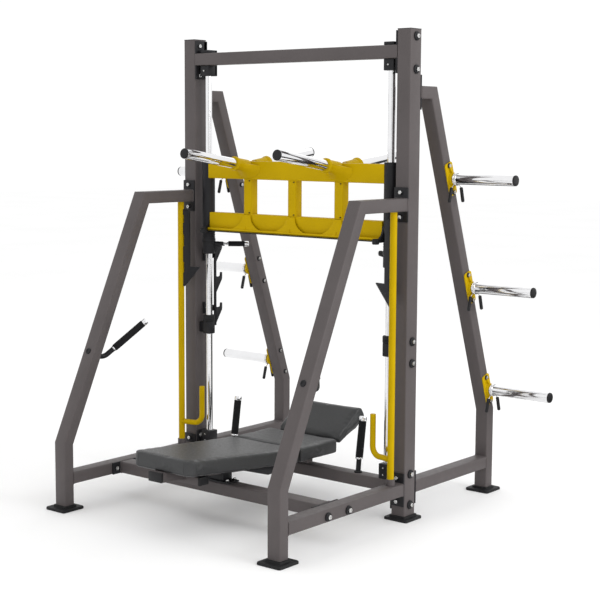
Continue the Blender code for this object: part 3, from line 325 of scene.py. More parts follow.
def loft(bm, rings, caps=True, loop=False):
    """Faces between rings of the same number of points; loop joins the last ring to the first."""
    made = [[bm.verts.new(p) for p in ring] for ring in rings]
    pairs = list(zip(made, made[1:]))
    if loop:
        pairs.append((made[-1], made[0]))
    count = len(made[0])
    for a, b in pairs:
        for k in range(count):
            bm.faces.new((a[k], a[(k + 1) % count], b[(k + 1) % count], b[k]))
    if caps and not loop:
        bm.faces.new(made[0][::-1])
        bm.faces.new(made[-1])
    return made


def box(bm, low, high, bevel=0.0015, place=None):
    """A box between two opposite corners, with rounded edges."""
    first = Vector(min(a, b) for a, b in zip(low, high))
    last = Vector(max(a, b) for a, b in zip(low, high))
    new = bmesh.ops.create_cube(bm, size=1.0)["verts"]
    bmesh.ops.scale(bm, vec=last - first, verts=new)
    bmesh.ops.translate(bm, vec=(first + last) / 2, verts=new)
    if bevel:
        edges = list({e for v in new for e in v.link_edges})
        result = bmesh.ops.bevel(bm, geom=edges, offset=bevel, segments=2, profile=0.5,
                                 affect="EDGES")
        new = list({v for f in result["faces"] for v in f.verts})
    if place is not None:
        bmesh.ops.transform(bm, matrix=place, verts=new)


def turned(bm, profile, place, segments=40, loop=False):
    """A lathe shape about local Z from (radius, height) points; loop closes the profile itself."""
    rings = []
    for radius, height in profile:
        radius = max(radius, 0.00005)
        rings.append([place @ Vector((radius * math.cos(2 * math.pi * k / segments),
                                      radius * math.sin(2 * math.pi * k / segments), height))
                      for k in range(segments)])
    loft(bm, rings, caps=not loop, loop=loop)


def aimed(start, direction):
    """A placing matrix whose local Z points along direction from start."""
    turn = Vector(direction).to_track_quat("Z", "Y").to_matrix().to_4x4()
    return Matrix.Translation(Vector(start)) @ turn


def rounded_box_ring(width, height, radius, steps=3):
    """The outline of a rounded rectangle about the origin."""
    points = []
    for cx, cy, first in ((1, 1, 0), (-1, 1, 1), (-1, -1, 2), (1, -1, 3)):
        for k in range(steps + 1):
            angle = math.pi / 2 * (first + k / steps)
            points.append((cx * (width / 2 - radius) + radius * math.cos(angle),
                           cy * (height / 2 - radius) + radius * math.sin(angle)))
    return points


def tube_run(bm, x, line, width=TUBE_W, height=TUBE_D, radius=TUBE_R):
    """A rectangular tube along (y, z) points at a fixed x, mitred at its corners."""
    line = [Vector(p) for p in line]
    ring = rounded_box_ring(width, height, radius)
    normals = []
    for a, b in zip(line, line[1:]):
        along = (b - a).normalized()
        normals.append(Vector((-along.y, along.x)))
    offsets = [normals[0]]
    for before, after in zip(normals, normals[1:]):
        middle = (before + after).normalized()
        offsets.append(middle / middle.dot(before))
    offsets.append(normals[-1])
    rings = []
    for point, offset in zip(line, offsets):
        rings.append([Vector((x + u, point.x + offset.x * v, point.y + offset.y * v))
                      for u, v in ring])
    loft(bm, rings)


def straight_tube(bm, start, end, width, height, radius=TUBE_R):
    """A rectangular tube between two points; width is across local X, height the other way."""
    place = aimed(start, Vector(end) - Vector(start))
    length = (Vector(end) - Vector(start)).length
    ring = rounded_box_ring(width, height, radius)
    loft(bm, [[place @ Vector((u, v, along)) for u, v in ring] for along in (0.0, length)])


def pipe(bm, path, radius, segments=20, caps=True, radii=None):
    """A round bar along a path of points."""
    path = [Vector(p) for p in path]
    tangents = []
    for k, point in enumerate(path):
        before = path[max(k - 1, 0)]
        after = path[min(k + 1, len(path) - 1)]
        tangents.append((after - before).normalized())
    side = tangents[0].orthogonal().normalized()
    rings = []
    for k, (point, tangent) in enumerate(zip(path, tangents)):
        side = (side - tangent * side.dot(tangent)).normalized()
        up = tangent.cross(side)
        size = radii[k] if radii else radius
        rings.append([point + (side * math.cos(2 * math.pi * j / segments)
                               + up * math.sin(2 * math.pi * j / segments)) * size
                      for j in range(segments)])
    loft(bm, rings, caps=caps)


def closed_pipe(bm, path, radius, segments=8, ripple=0.0, beads=1):
    """A round bar along a closed path; ripple swells it in beads like a weld."""
    path = [Vector(p) for p in path]
    count = len(path)
    rings = []
    side = None
    for k, point in enumerate(path):
        tangent = (path[(k + 1) % count] - path[k - 1]).normalized()
        side = tangent.orthogonal().normalized() if side is None else side
        side = (side - tangent * side.dot(tangent)).normalized()
        up = tangent.cross(side)
        size = radius * (1 + ripple * math.sin(2 * math.pi * beads * k / count))
        rings.append([point + (side * math.cos(2 * math.pi * j / segments)
                               + up * math.sin(2 * math.pi * j / segments)) * size
                      for j in range(segments)])
    loft(bm, rings, loop=True)


def rounded_path(corners, radius, steps=8):
    """Straight runs through corners, with each inner corner turned into an arc."""
    corners = [Vector(c) for c in corners]
    path = [corners[0]]
    for before, corner, after in zip(corners, corners[1:], corners[2:]):
        to_before = (before - corner).normalized()
        to_after = (after - corner).normalized()
        half = to_before.angle(to_after) / 2
        middle = corner + (to_before + to_after).normalized() * (radius / math.sin(half))
        reach = radius / math.tan(half)
        first = corner + to_before * reach - middle
        last = corner + to_after * reach - middle
        turn = first.angle(last)
        for step in range(steps + 1):
            share = step / steps
            spread = first * math.sin((1 - share) * turn) + last * math.sin(share * turn)
            path.append(middle + spread / math.sin(turn))
    path.append(corners[-1])
    return path


def slab(bm, outline, thickness, place, bevel=0.0012):
    """A flat outline (u, v) with the given thickness about its own plane, edges rounded."""
    new = []
    for height in (-thickness / 2, thickness / 2):
        new.append([bm.verts.new(Vector((u, v, height))) for u, v in outline])
    count = len(outline)
    faces = [bm.faces.new(new[0][::-1]), bm.faces.new(new[1])]
    for k in range(count):
        faces.append(bm.faces.new((new[0][k], new[0][(k + 1) % count],
                                   new[1][(k + 1) % count], new[1][k])))
    bmesh.ops.recalc_face_normals(bm, faces=faces)
    verts = new[0] + new[1]
    if bevel:
        rims = [e for e in faces[0].edges] + [e for e in faces[1].edges]
        result = bmesh.ops.bevel(bm, geom=rims, offset=bevel, segments=2, profile=0.5,
                                 affect="EDGES")
        verts = list({v for f in faces if f.is_valid for v in f.verts}
                     | {v for f in result["faces"] for v in f.verts})
    bmesh.ops.transform(bm, matrix=place, verts=verts)


def side_plane(x):
    """Places an outline's (u, v) on world (Y, Z) at the given X."""
    return Matrix(((0, 0, 1, x), (1, 0, 0, 0), (0, 1, 0, 0), (0, 0, 0, 1)))


def standing(origin, direction):
    """Plane for a plate on edge: its outline runs along a level direction and upwards from the floor."""
    up = Vector((0, 0, 1))
    across = direction.cross(up)
    return Matrix(((direction.x, up.x, across.x, origin.x), (direction.y, up.y, across.y, origin.y),
                   (direction.z, up.z, across.z, 0.0), (0, 0, 0, 1)))


def weld_ring(bm, centre, u_axis, v_axis, radius, wire):
    """A weld bead around a round foot."""
    ring = []
    for k in range(40):
        angle = 2 * math.pi * k / 40
        ring.append(centre + u_axis * (radius * math.cos(angle)) + v_axis * (radius * math.sin(angle)))
    closed_pipe(bm, ring, wire, ripple=0.15, beads=13)


def weld_around(bm, centre, u_axis, v_axis, width, height, radius=0.0028):
    """A weld bead around a rectangular tube where it meets a plate."""
    ring = []
    flat = rounded_box_ring(width, height, TUBE_R, steps=4)
    for (u0, v0), (u1, v1) in zip(flat, flat[1:] + flat[:1]):
        length = math.hypot(u1 - u0, v1 - v0)
        steps = max(1, int(length / 0.0022))
        for k in range(steps):
            share = k / steps
            ring.append(Vector(centre) + Vector(u_axis) * (u0 + (u1 - u0) * share)
                        + Vector(v_axis) * (v0 + (v1 - v0) * share))
    closed_pipe(bm, ring, radius, ripple=0.16, beads=len(ring) // 3)


class Fasteners:
    """Bolts gathered into one piece of heads and one of black washers for a body."""

    def __init__(self, label, body, metal=None):
        self.label = label
        self.body = body
        self.metal = metal or ZINC
        self.heads = bmesh.new()
        self.washers = bmesh.new()

    def bolt(self, point, direction, head=0.0095, washer=0.0165):
        place = aimed(point, direction)
        if washer:
            turned(self.washers, ((0.0, -0.0002), (washer, -0.0002), (washer, 0.0022),
                                  (washer * 0.93, 0.0038), (head * 1.08, 0.0046),
                                  (head * 1.02, 0.0040), (0.0, 0.0040)), place, 32)
        base = 0.0040 if washer else 0.0
        self.hexagon(place, head, ((0.96, base), (1.0, base + 0.0008), (1.0, base + 0.0048),
                                   (0.90, base + 0.0060), (0.58, base + 0.0062), (0.55, base + 0.0030)))

    def capped(self, point, direction, head=0.0105, cover=0.0205):
        """A thick black cover disc with a silver hexagon standing proud of it."""
        place = aimed(point, direction)
        turned(self.washers, ((0.0, -0.0002), (cover, -0.0002), (cover, 0.0050), (cover * 0.95, 0.0072),
                              (cover * 0.80, 0.0084), (head * 1.20, 0.0086), (head * 1.10, 0.0068),
                              (0.0, 0.0068)), place, 40)
        self.hexagon(place, head, ((0.96, 0.0068), (1.0, 0.0078), (1.0, 0.0140), (0.90, 0.0156),
                                   (0.58, 0.0158), (0.55, 0.0116)))

    def hexagon(self, place, head, levels):
        """A hexagonal head with a socket, from rings given as (share of the radius, height)."""
        loft(self.heads, [[place @ Vector((head * size * math.cos(math.pi * k / 3),
                                           head * size * math.sin(math.pi * k / 3), height))
                           for k in range(6)] for size, height in levels])

    def finish(self):
        piece(f"bolt_heads_{self.label}", self.heads, self.metal, self.body)
        if self.washers.verts:
            piece(f"washers_{self.label}", self.washers, BLACK, self.body)
        else:
            self.washers.free()


# --- frame ----------------------------------------------------------------------------------
def at(y, z, x=0.0):
    """A point given by its distance behind the plane of the uprights."""
    return Vector((x, MID_Y + y, z))


def shifted(line):
    return [(MID_Y + y, z) for y, z in line]


def build_uprights(bolts):
    for side, s in SIDES:
        x = s * (HALF_WIDTH + INNER_X) / 2
        low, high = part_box(f"upright_{side}")
        bm = bmesh.new()
        straight_tube(bm, (x, MID_Y, low.z), (x, MID_Y, high.z - 0.003),
                      HALF_WIDTH - INNER_X, UPRIGHT_D)
        piece(f"upright_tube_{side}", bm, PAINT, "frame", f"upright_{side}")
        bm = bmesh.new()
        half_w, half_d = (HALF_WIDTH - INNER_X) / 2 - 0.0004, UPRIGHT_D / 2 - 0.0004
        box(bm, (x - half_w, MID_Y - half_d, high.z - 0.0032), (x + half_w, MID_Y + half_d, high.z),
            0.0012)
        piece(f"upright_cap_{side}", bm, PLASTIC, "frame")
        for z in OUTER_BOLT_Z:
            bolts.capped((s * HALF_WIDTH, MID_Y, z), (s, 0, 0))


def build_legs(bolts):
    for side, s in SIDES:
        x = s * (HALF_WIDTH - TUBE_W / 2)
        for where, sign, line in (("front", -1, FRONT_LINE), ("rear", 1, REAR_LINE)):
            bm = bmesh.new()
            run = list(line) + [(line[-1][0], FOOT_TOP + CLEAR)]
            tube_run(bm, x, shifted(run))
            face = sign * (UPRIGHT_D / 2 + CLEAR + PLATE_T)
            weld_around(bm, at(face, line[0][1], x), (1, 0, 0), (0, 0, 1), TUBE_W, TUBE_D)
            piece(f"leg_tube_{where}_{side}", bm, PAINT, "frame", f"leg_{where}_{side}")
            end_plate(f"leg_plate_{where}_{side}", s, sign, line[0][1], bolts)


def end_plate(name, s, sign, z, bolts):
    """Black plate with two bolts on an upright's front (-1) or back (1) face."""
    x = s * (HALF_WIDTH + INNER_X) / 2
    half = (HALF_WIDTH - INNER_X) / 2
    near = sign * (UPRIGHT_D / 2 + CLEAR)
    far = near + sign * (PLATE_T + SKIN)
    bm = bmesh.new()
    box(bm, at(near, z - PLATE_H / 2 - SKIN, x - half - SKIN / 2),
        at(far, z + PLATE_H / 2 + SKIN, x + half - SKIN / 2), 0.0018)
    piece(name, bm, BLACK, "frame")
    for dz in (-0.056, 0.056):
        bolts.bolt(at(far, z + dz, x), (0, sign, 0), washer=0.013)


def build_rails(bolts):
    for side, s in SIDES:
        x = s * (HALF_WIDTH - TUBE_W / 2)
        for where, sign in (("front", -1), ("rear", 1)):
            node = f"rail_{where}_{side}"
            low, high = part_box(node)
            far = low.y if sign < 0 else high.y
            face = sign * (UPRIGHT_D / 2 + CLEAR + PLATE_T)
            bm = bmesh.new()
            straight_tube(bm, (x, MID_Y + face * 0.98, RAIL_Z), (x, far, RAIL_Z), TUBE_W, TUBE_D)
            for end in (MID_Y + face, far):
                weld_around(bm, (x, end, RAIL_Z), (1, 0, 0), (0, 0, 1), TUBE_W, TUBE_D, 0.0024)
            piece(f"rail_tube_{where}_{side}", bm, PAINT, "frame", node)
            end_plate(f"rail_plate_{where}_{side}", s, sign, RAIL_Z - 0.002, bolts)


def stacked(bm, outline, centre, levels):
    """A solid from one outline about centre, at levels given as (scale, height)."""
    loft(bm, [[Vector((centre.x + u * k, centre.y + v * k, z)) for u, v in outline] for k, z in levels])


def build_feet():
    for side, _ in SIDES:
        for where in ("front", "upright", "rear"):
            node = f"foot_{where}_{side}"
            low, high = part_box(node)
            tube_w = TUBE_W if where != "upright" else HALF_WIDTH - INNER_X
            tube_d = TUBE_D if where != "upright" else UPRIGHT_D
            centre = (low + high) / 2
            bm = bmesh.new()
            size = high.x - low.x
            ring = rounded_box_ring(size, size, 0.010, 4)
            top = 0.013
            levels = ((0.985, 0.0), (1.0, 0.0015), (1.0, top - 0.004), (0.985, top - 0.0012),
                      (0.965, top))
            stacked(bm, ring, centre, levels)
            rim = rounded_box_ring(tube_w + 0.016, tube_d + 0.016, 0.008, 4)
            levels = ((1.03, top - 0.001), (1.0, top + 0.002), (1.0, high.z - 0.0015),
                      (0.985, high.z))
            stacked(bm, rim, centre, levels)
            piece(f"rubber_{node}", bm, RUBBER, "frame", node)


def build_top_beam(bolts):
    low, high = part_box("top_beam")
    back = low.y + BEAM_D
    middle = ((low.y + back) / 2, (BEAM_LOW + BEAM_HIGH) / 2)
    bm = bmesh.new()
    straight_tube(bm, (low.x, *middle), (high.x, *middle), BEAM_HIGH - BEAM_LOW, BEAM_D)
    piece("top_beam_tube", bm, PAINT, "frame", "top_beam")
    for side, s in SIDES:
        bm = bmesh.new()
        inner = s * (INNER_X - CLEAR)
        thick = PLATE_T + SKIN
        far = inner - s * thick
        box(bm, (inner, low.y + 0.001, low.z), (far, high.y - 0.001, BEAM_LOW + 0.001), 0.0018)
        box(bm, (inner, low.y + 0.001, BEAM_HIGH - 0.001), (far, high.y - 0.001, high.z), 0.0018)
        box(bm, (inner, back - 0.001, low.z + 0.002), (far, high.y - 0.0015, high.z - 0.002), 0.0018)
        piece(f"top_beam_plate_{side}", bm, BLACK, "frame")
        for z in OUTER_BOLT_Z[:2]:
            bolts.bolt((far, MID_Y - 0.018, z), (-s, 0, 0), washer=0.012)


def crossbeam_tube(name, low, high, y, width):
    bm = bmesh.new()
    straight_tube(bm, (low.x, y, RAIL_Z), (high.x, y, RAIL_Z), width, TUBE_D)
    for s in (-1, 1):
        weld_around(bm, (s * (high.x - PLATE_T), y, RAIL_Z), (0, 1, 0), (0, 0, 1), width, TUBE_D)
    piece(f"{name}_tube", bm, PAINT, "frame", name)


def build_crossbeams(bolts):
    low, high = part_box("crossbeam_front")
    middle_y = (low.y + high.y) / 2
    crossbeam_tube("crossbeam_front", low, high, middle_y, CROSS_W)
    for side, s in SIDES:
        bm = bmesh.new()
        box(bm, (s * high.x, low.y - SKIN, low.z - SKIN),
            (s * (high.x - PLATE_T - SKIN), high.y + SKIN, high.z + SKIN), 0.0018)
        piece(f"crossbeam_front_plate_{side}", bm, BLACK, "frame")
        for dy in (-0.0725, 0.0725):
            bolts.capped((s * HALF_WIDTH, middle_y + dy, RAIL_Z - 0.004), (s, 0, 0))
            bolts.bolt((s * (high.x - PLATE_T - SKIN), middle_y + dy * 0.93, RAIL_Z), (-s, 0, 0),
                       washer=0.012)

    low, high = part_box("crossbeam_rear")
    crossbeam_tube("crossbeam_rear", low, high, MID_Y, TUBE_W)
    thick = PLATE_T + SKIN
    plate_half, socket_x, socket_y = 0.040, 0.0284, 0.0304
    for side, s in SIDES:
        bm = bmesh.new()
        box(bm, (s * high.x, MID_Y - plate_half - SKIN, 0.048),
            (s * (high.x - thick), MID_Y + plate_half + SKIN, 0.246), 0.0018)
        x = s * ROD_X
        box(bm, (x - socket_x, MID_Y - socket_y, RAIL_Z + TUBE_D / 2 - 0.001),
            (x + socket_x, MID_Y + socket_y, 0.250), 0.0025)
        piece(f"rod_socket_{side}", bm, BLACK, "frame")
        bolts.bolt((s * (high.x - thick), MID_Y - 0.024, 0.222), (-s, 0, 0), washer=0.012)
        bolts.bolt((s * (high.x - thick), MID_Y + 0.020, 0.068), (-s, 0, 0), washer=0.012)
        for z in (0.200, 0.232):
            bolts.bolt((x, MID_Y - socket_y, z), (0, -1, 0), head=0.0045, washer=0)


def build_guides(bolts):
    for side, s in SIDES:
        x = s * ROD_X
        low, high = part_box(f"guide_rod_{side}")
        bm = bmesh.new()
        turned(bm, ((ROD_R - 0.001, 0.0), (ROD_R, 0.001), (ROD_R, high.z - low.z - 0.001),
                    (ROD_R - 0.001, high.z - low.z)), Matrix.Translation((x, MID_Y, low.z)), 64)
        piece(f"guide_rod_chrome_{side}", bm, CHROME, "frame", f"guide_rod_{side}")

        low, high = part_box(f"rod_top_block_{side}")
        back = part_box("top_beam")[0].y + BEAM_D
        bm = bmesh.new()
        box(bm, low, (high.x, high.y, BEAM_LOW - CLEAR), 0.0025)
        box(bm, (low.x, low.y, BEAM_HIGH + CLEAR), high, 0.0025)
        box(bm, (low.x, back + CLEAR, low.z + 0.002), (high.x, high.y, high.z - 0.002), 0.0025)
        piece(f"rod_block_{side}", bm, BLACK, "frame", f"rod_top_block_{side}")
        bolts.bolt((x, low.y, low.z + 0.026), (0, -1, 0), head=0.0045, washer=0)

        bm = bmesh.new()
        box(bm, (x - STOP_HALF, MID_Y - STOP_HALF, STOP_LOW),
            (x + STOP_HALF, MID_Y + STOP_HALF, STOP_HIGH), 0.004)
        box(bm, (x, MID_Y - 0.016, STOP_LOW + 0.006),
            (s * (INNER_X - CLEAR), MID_Y + 0.016, STOP_HIGH - 0.006), 0.002)
        piece(f"stop_block_{side}", bm, BLACK, "frame", f"lower_stop_{side}")
        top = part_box(f"lower_stop_{side}")[1].z - STOP_HIGH
        bm = bmesh.new()
        turned(bm, ((0.0186, 0.0), (0.0285, 0.0), (0.030, 0.002), (0.030, 0.009), (0.0286, 0.011),
                    (0.030, 0.013), (0.030, top - 0.006), (0.0275, top - 0.001), (0.0215, top),
                    (0.0186, top - 0.001)),
               Matrix.Translation((x, MID_Y, STOP_HIGH)), 48, loop=True)
        piece(f"stop_bumper_{side}", bm, RUBBER, "frame")


def hook_outline(tip_z):
    """Outline (y, z) of one upward hook: a rounded notch behind a blunt tip."""
    spine = RACK_BACK
    front = HOOK_TIP_Y - HOOK_TIP_T
    buried = (RACK_FRONT + RACK_BACK) / 2
    floor = tip_z - NOTCH_DROP
    middle = (spine + front) / 2
    half = (front - spine) / 2
    points = [(buried, floor - 0.078), (spine + 0.001, floor - 0.078), (0.0895, floor - 0.022),
              (0.0935, floor - 0.016), (HOOK_TIP_Y, floor - 0.006), (HOOK_TIP_Y, tip_z - 0.002),
              (HOOK_TIP_Y - 0.0015, tip_z), (front + 0.002, tip_z)]
    for step in range(0, 13):
        angle = math.pi * step / 12
        points.append((middle + half * math.cos(angle), floor + 0.006 - 0.006 * math.sin(angle)))
    points.append((buried, floor + 0.012))
    return points


def build_racks(bolts):
    for side, s in SIDES:
        node = f"hook_rack_{side}"
        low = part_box(node)[0]
        x = s * ROD_X
        bm = bmesh.new()
        box(bm, (x - 0.005, MID_Y + RACK_FRONT, low.z), (x + 0.005, MID_Y + RACK_BACK, RACK_TOP), 0.0012)
        for k in range(HOOK_COUNT):
            shape = shifted(hook_outline(HOOK_TOP - k * HOOK_PITCH))
            slab(bm, shape, 0.0099, side_plane(x))
        face = s * (INNER_X - CLEAR)
        for z in RACK_ARM_Z:
            box(bm, (x, MID_Y + RACK_FRONT + 0.0002, z - 0.015),
                (face, MID_Y + RACK_BACK - 0.0002, z + 0.015), 0.002)
            box(bm, (face, MID_Y + 0.010, z - 0.030),
                (face - s * 0.008, MID_Y + RACK_BACK, z + 0.030), 0.0015)
            bolts.bolt((face - s * 0.008, MID_Y + 0.022, z), (-s, 0, 0), head=0.006, washer=0)
        piece(f"rack_{side}", bm, BLACK, "frame", node)


# --- storage horns --------------------------------------------------------------------------
def rear_leg_y(z):
    """Distance of the rear leg's centre line behind the uprights at a height."""
    (y0, z0), (y1, z1) = REAR_LINE[1], REAR_LINE[2]
    return y0 + (z0 - z) / (z0 - z1) * (y1 - y0)


def horn(name, place, start, end, body, *replaced):
    """A chrome bar with a rolled rim and a black plastic end cap."""
    bm = bmesh.new()
    turned(bm, ((HORN_R - 0.001, start), (HORN_R, start + 0.001), (HORN_R, end - 0.003),
                (HORN_R - 0.0012, end)), place, 64)
    obj = piece(name, bm, CHROME, body, *replaced)
    bm = bmesh.new()
    turned(bm, ((0.0, end - 0.001), (HORN_R - 0.0002, end - 0.001), (HORN_R - 0.0002, end + 0.0040),
                (HORN_R - 0.0015, end + 0.0066), (HORN_R - 0.0060, end + 0.0077),
                (0.010, end + 0.0080), (0.0, end + 0.0080)), place, 48)
    piece(f"{name}_cap", bm, PLASTIC, body)
    return obj


def build_storage(bolts):
    (y0, z0), (y1, z1) = REAR_LINE[1], REAR_LINE[2]
    slope = math.atan2(y1 - y0, z0 - z1)
    for side, s in SIDES:
        for k, z in enumerate(STORE_Z, start=1):
            centre = at(rear_leg_y(z), z, s * (HALF_WIDTH + CLEAR))
            node = f"storage_horn_{k}_{side}"
            outward = aimed(centre, (s, 0, 0))
            horn(f"storage_bar_{k}_{side}", outward, 0.004, STORE_REACH - CLEAR, "frame", node)
            build_bracket(f"storage_bracket_{k}_{side}", centre, s, slope, bolts)
            build_collar(k, side, s, centre)


def build_bracket(name, centre, s, slope, bolts):
    """Yellow plate with rounded corners, a boss around the bar, and a rib above and below it."""
    thick = 0.006
    place = (Matrix.Translation(centre) @ Matrix.Rotation(slope, 4, "X"))
    half_w, half_h, corner = 0.0308, 0.080, 0.014
    outline = rounded_box_ring(2 * half_w, 2 * half_h, corner, 5)
    bm = bmesh.new()
    upright_plane = place @ Matrix(((0, 0, s, s * thick / 2), (1, 0, 0, 0), (0, 1, 0, 0), (0, 0, 0, 1)))
    slab(bm, outline, thick, upright_plane, 0.0015)
    turned(bm, ((HORN_R + 0.0002, 0.004), (HORN_R + 0.0120, thick - 0.001), (HORN_R + 0.0065, thick + 0.004),
                (HORN_R + 0.0052, 0.022), (HORN_R + 0.0040, 0.0236), (HORN_R + 0.0002, 0.0236)),
           aimed(centre, (s, 0, 0)), 48, loop=True)
    for lean in (-1, 1):
        rib = [(HORN_R, thick - 0.001), (0.066, thick - 0.001), (0.062, thick + 0.003),
               (HORN_R + 0.004, 0.0215), (HORN_R, 0.0215)]
        flat = Matrix(((0, s, 0, 0), (0, 0, 1, 0), (lean, 0, 0, 0), (0, 0, 0, 1)))
        slab(bm, rib, 0.006, place @ flat, 0.001)
    piece(name, bm, YELLOW, "frame")
    for dz in (-0.066, 0.066):
        outer = place @ Vector((s * thick, 0, dz))
        bolts.bolt(outer, (s, 0, 0), head=0.0085, washer=0.0125)
        inner = place @ Vector((-s * (TUBE_W + CLEAR), 0, dz))
        bolts.bolt(inner, (-s, 0, 0), head=0.0085, washer=0.0125)


def build_collar(k, side, s, centre):
    """Spring clip: a coil of close turns around the bar and two prongs with black grips."""
    body = f"collar_{k}_{side}"
    wire = 0.0022
    radius = HORN_R + 0.0008 + wire
    start = 0.0255
    turns = 3
    path = []
    steps = 28 * turns
    sweep = 2 * math.pi * turns
    first = math.radians(-115)
    extra = math.radians(50)
    for step in range(steps + 1):
        angle = first + (sweep + extra) * step / steps
        along = start + wire + 0.0145 * step / steps
        path.append(Vector((centre.x + s * along, centre.y + radius * math.cos(angle),
                            centre.z + radius * math.sin(angle))))
    grips = bmesh.new()
    for at_start, lean in ((True, -1), (False, 1)):
        end = path[0] if at_start else path[-1]
        tip = Vector((end.x, centre.y + lean * 0.030, centre.z - 0.040))
        far = tip + Vector((0, lean * 0.016, -0.060)).normalized() * 0.068
        leave = (end + tip) / 2 + Vector((0, -lean * 0.002, 0))
        path = [far, tip, leave] + path if at_start else path + [leave, tip, far]
        down = (far - tip).normalized()
        knurl = []
        length = (far - tip).length
        for step in range(25):
            share = step / 24
            knurl.append((0.0082 + 0.0004 * math.sin(share * 24 * math.pi), share * length))
        profile = [(0.0030, -0.0015), (0.0070, 0.0)] + knurl[1:-1]
        profile += [(0.0072, length), (0.0040, length + 0.0025)]
        turned(grips, profile, aimed(tip, down), 20)
    coil = bmesh.new()
    pipe(coil, path, wire, 10)
    piece(f"collar_coil_{k}_{side}", coil, CHROME, body, f"spring_collar_{k}_{side}")
    piece(f"collar_grips_{k}_{side}", grips, PLASTIC, body)


# --- carriage -------------------------------------------------------------------------------
def build_carriage():
    low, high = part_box("carriage_frame")
    bm = bmesh.new()
    straight_tube(bm, (low.x, MID_Y, UPPER_Z), (high.x, MID_Y, UPPER_Z), CARRIAGE_D, UPPER_H, 0.005)
    straight_tube(bm, (-LOWER_END, MID_Y, LOWER_Z), (LOWER_END, MID_Y, LOWER_Z), CARRIAGE_D, LOWER_H, 0.005)
    top = UPPER_Z - UPPER_H / 2
    bottom = LOWER_Z + LOWER_H / 2
    for x in (-BAR_X, 0.0, BAR_X):
        straight_tube(bm, (x, MID_Y, bottom - 0.002), (x, MID_Y, top + 0.002), BAR_W,
                      CARRIAGE_D - 0.001, 0.004)
        for z in (bottom, top):
            weld_around(bm, (x, MID_Y, z), (1, 0, 0), (0, 1, 0), BAR_W, CARRIAGE_D - 0.001, 0.0020)
    piece("carriage_tubes", bm, YELLOW, "carriage", "carriage_frame")
    screws = Fasteners("carriage", "carriage", BLACK)
    for x in (-BAR_X, 0.0, BAR_X):
        for z in (bottom + 0.007, top - 0.007):
            screws.bolt((x + BAR_W / 2 - 0.010, MID_Y - CARRIAGE_D / 2 + 0.0005, z), (0, -1, 0),
                        head=0.0032, washer=0)
    screws.finish()


def build_footplate():
    low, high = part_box("footplate")
    plate_t, lip_t, lip_h = 0.006, 0.004, 0.008
    bm = bmesh.new()
    box(bm, (low.x, low.y, low.z), (high.x, high.y, low.z + plate_t), 0.0015)
    box(bm, (low.x, low.y, low.z), (high.x, low.y + lip_t, low.z + plate_t + lip_h), 0.0014)
    rise = LOWER_Z + LOWER_H / 2 - 0.003 - low.z - plate_t
    run = MID_Y - CARRIAGE_D / 2 - low.y - 0.008
    slant = math.hypot(rise, run)
    tilt = math.atan2(rise, run)
    flare = BAR_X / 2 - 0.0005
    for x in (-BAR_X, 0.0, BAR_X):
        half = []
        for step in range(0, 15):
            angle = math.pi / 2 * step / 14
            half.append((BAR_W / 2 + (flare - BAR_W / 2) * (1 - math.cos(angle)),
                         slant * (1 - math.sin(angle))))
        shape = half + [(-u, v) for u, v in reversed(half)]
        place = (Matrix.Translation((x, low.y + lip_t, low.z + plate_t - 0.001))
                 @ Matrix.Rotation(tilt, 4, "X"))
        slab(bm, shape, 0.004, place, 0.0008)
        rib = [(0.0, 0.0), (0.026, 0.0), (0.003, 0.006), (0.0, 0.006)]
        rib_plane = Matrix(((0, 0, 1, 0), (1, 0, 0, 0.006), (0, 1, 0, 0.001), (0, 0, 0, 1)))
        slab(bm, rib, 0.004, place @ rib_plane, 0.0006)
    piece("footplate_sheet", bm, YELLOW, "carriage", "footplate")

    low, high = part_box("foot_rubber")
    bm = bmesh.new()
    box(bm, low, high, 0.0012)
    studs_x, studs_y = 44, 6
    for i in range(studs_x):
        for j in range(studs_y):
            px = low.x + (high.x - low.x) * (i + 0.5) / studs_x
            py = low.y + (high.y - low.y) * (j + 0.5) / studs_y
            turned(bm, ((0.0085, 0.0004), (0.0070, -0.0008), (0.0, -0.0008)),
                   Matrix.Translation((px, py, low.z + 0.0008)), 10)
    piece("foot_rubber_mat", bm, RUBBER, "carriage", "foot_rubber")


def build_sleeves():
    for side, s in SIDES:
        node = f"guide_sleeve_{side}"
        low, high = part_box(node)
        x = s * ROD_X
        outer, bore = SLEEVE_R, BORE_R
        bm = bmesh.new()
        start = low.z + 0.005
        length = high.z - start
        turned(bm, ((bore, 0.001), (outer - 0.002, 0.0), (outer, 0.002), (outer, length - 0.002),
                    (outer - 0.002, length), (bore + 0.003, length), (bore + 0.001, length - 0.004),
                    (bore, length - 0.006)), Matrix.Translation((x, MID_Y, start)), 56, loop=True)
        web_x = s * 0.5465
        front, back, rise = -0.086, CARRIAGE_D / 2, 0.062
        toe = low.z + 0.019
        points = [(back, low.z + 0.007), (front, low.z + 0.007)]
        for step in range(0, 11):
            angle = math.pi / 2 * step / 10
            points.append((front + 0.061 * math.sin(angle), toe + rise * (1 - math.cos(angle))))
        points.append((back, toe + rise))
        slab(bm, shifted(points), 0.0099, side_plane(web_x), 0.0012)
        piece(f"sleeve_{side}", bm, BLACK, "carriage", node)
        bm = bmesh.new()
        turned(bm, ((bore - 0.0002, 0.0), (bore + 0.006, 0.0), (bore + 0.006, 0.002),
                    (bore - 0.0002, 0.003)), Matrix.Translation((x, MID_Y, high.z - 0.003)), 48, loop=True)
        piece(f"sleeve_wiper_{side}", bm, RUBBER, "carriage")
        bm = bmesh.new()
        turned(bm, ((0.0, 0.0), (0.0135, 0.0), (0.0162, 0.003), (0.0165, 0.006), (0.0165, 0.020),
                    (0.0162, 0.0225), (0.0135, 0.0258), (0.0, 0.026)),
               Matrix.Translation(at(-0.070, low.z, s * 0.5385)), 36)
        piece(f"sleeve_bumper_{side}", bm, RUBBER, "carriage")


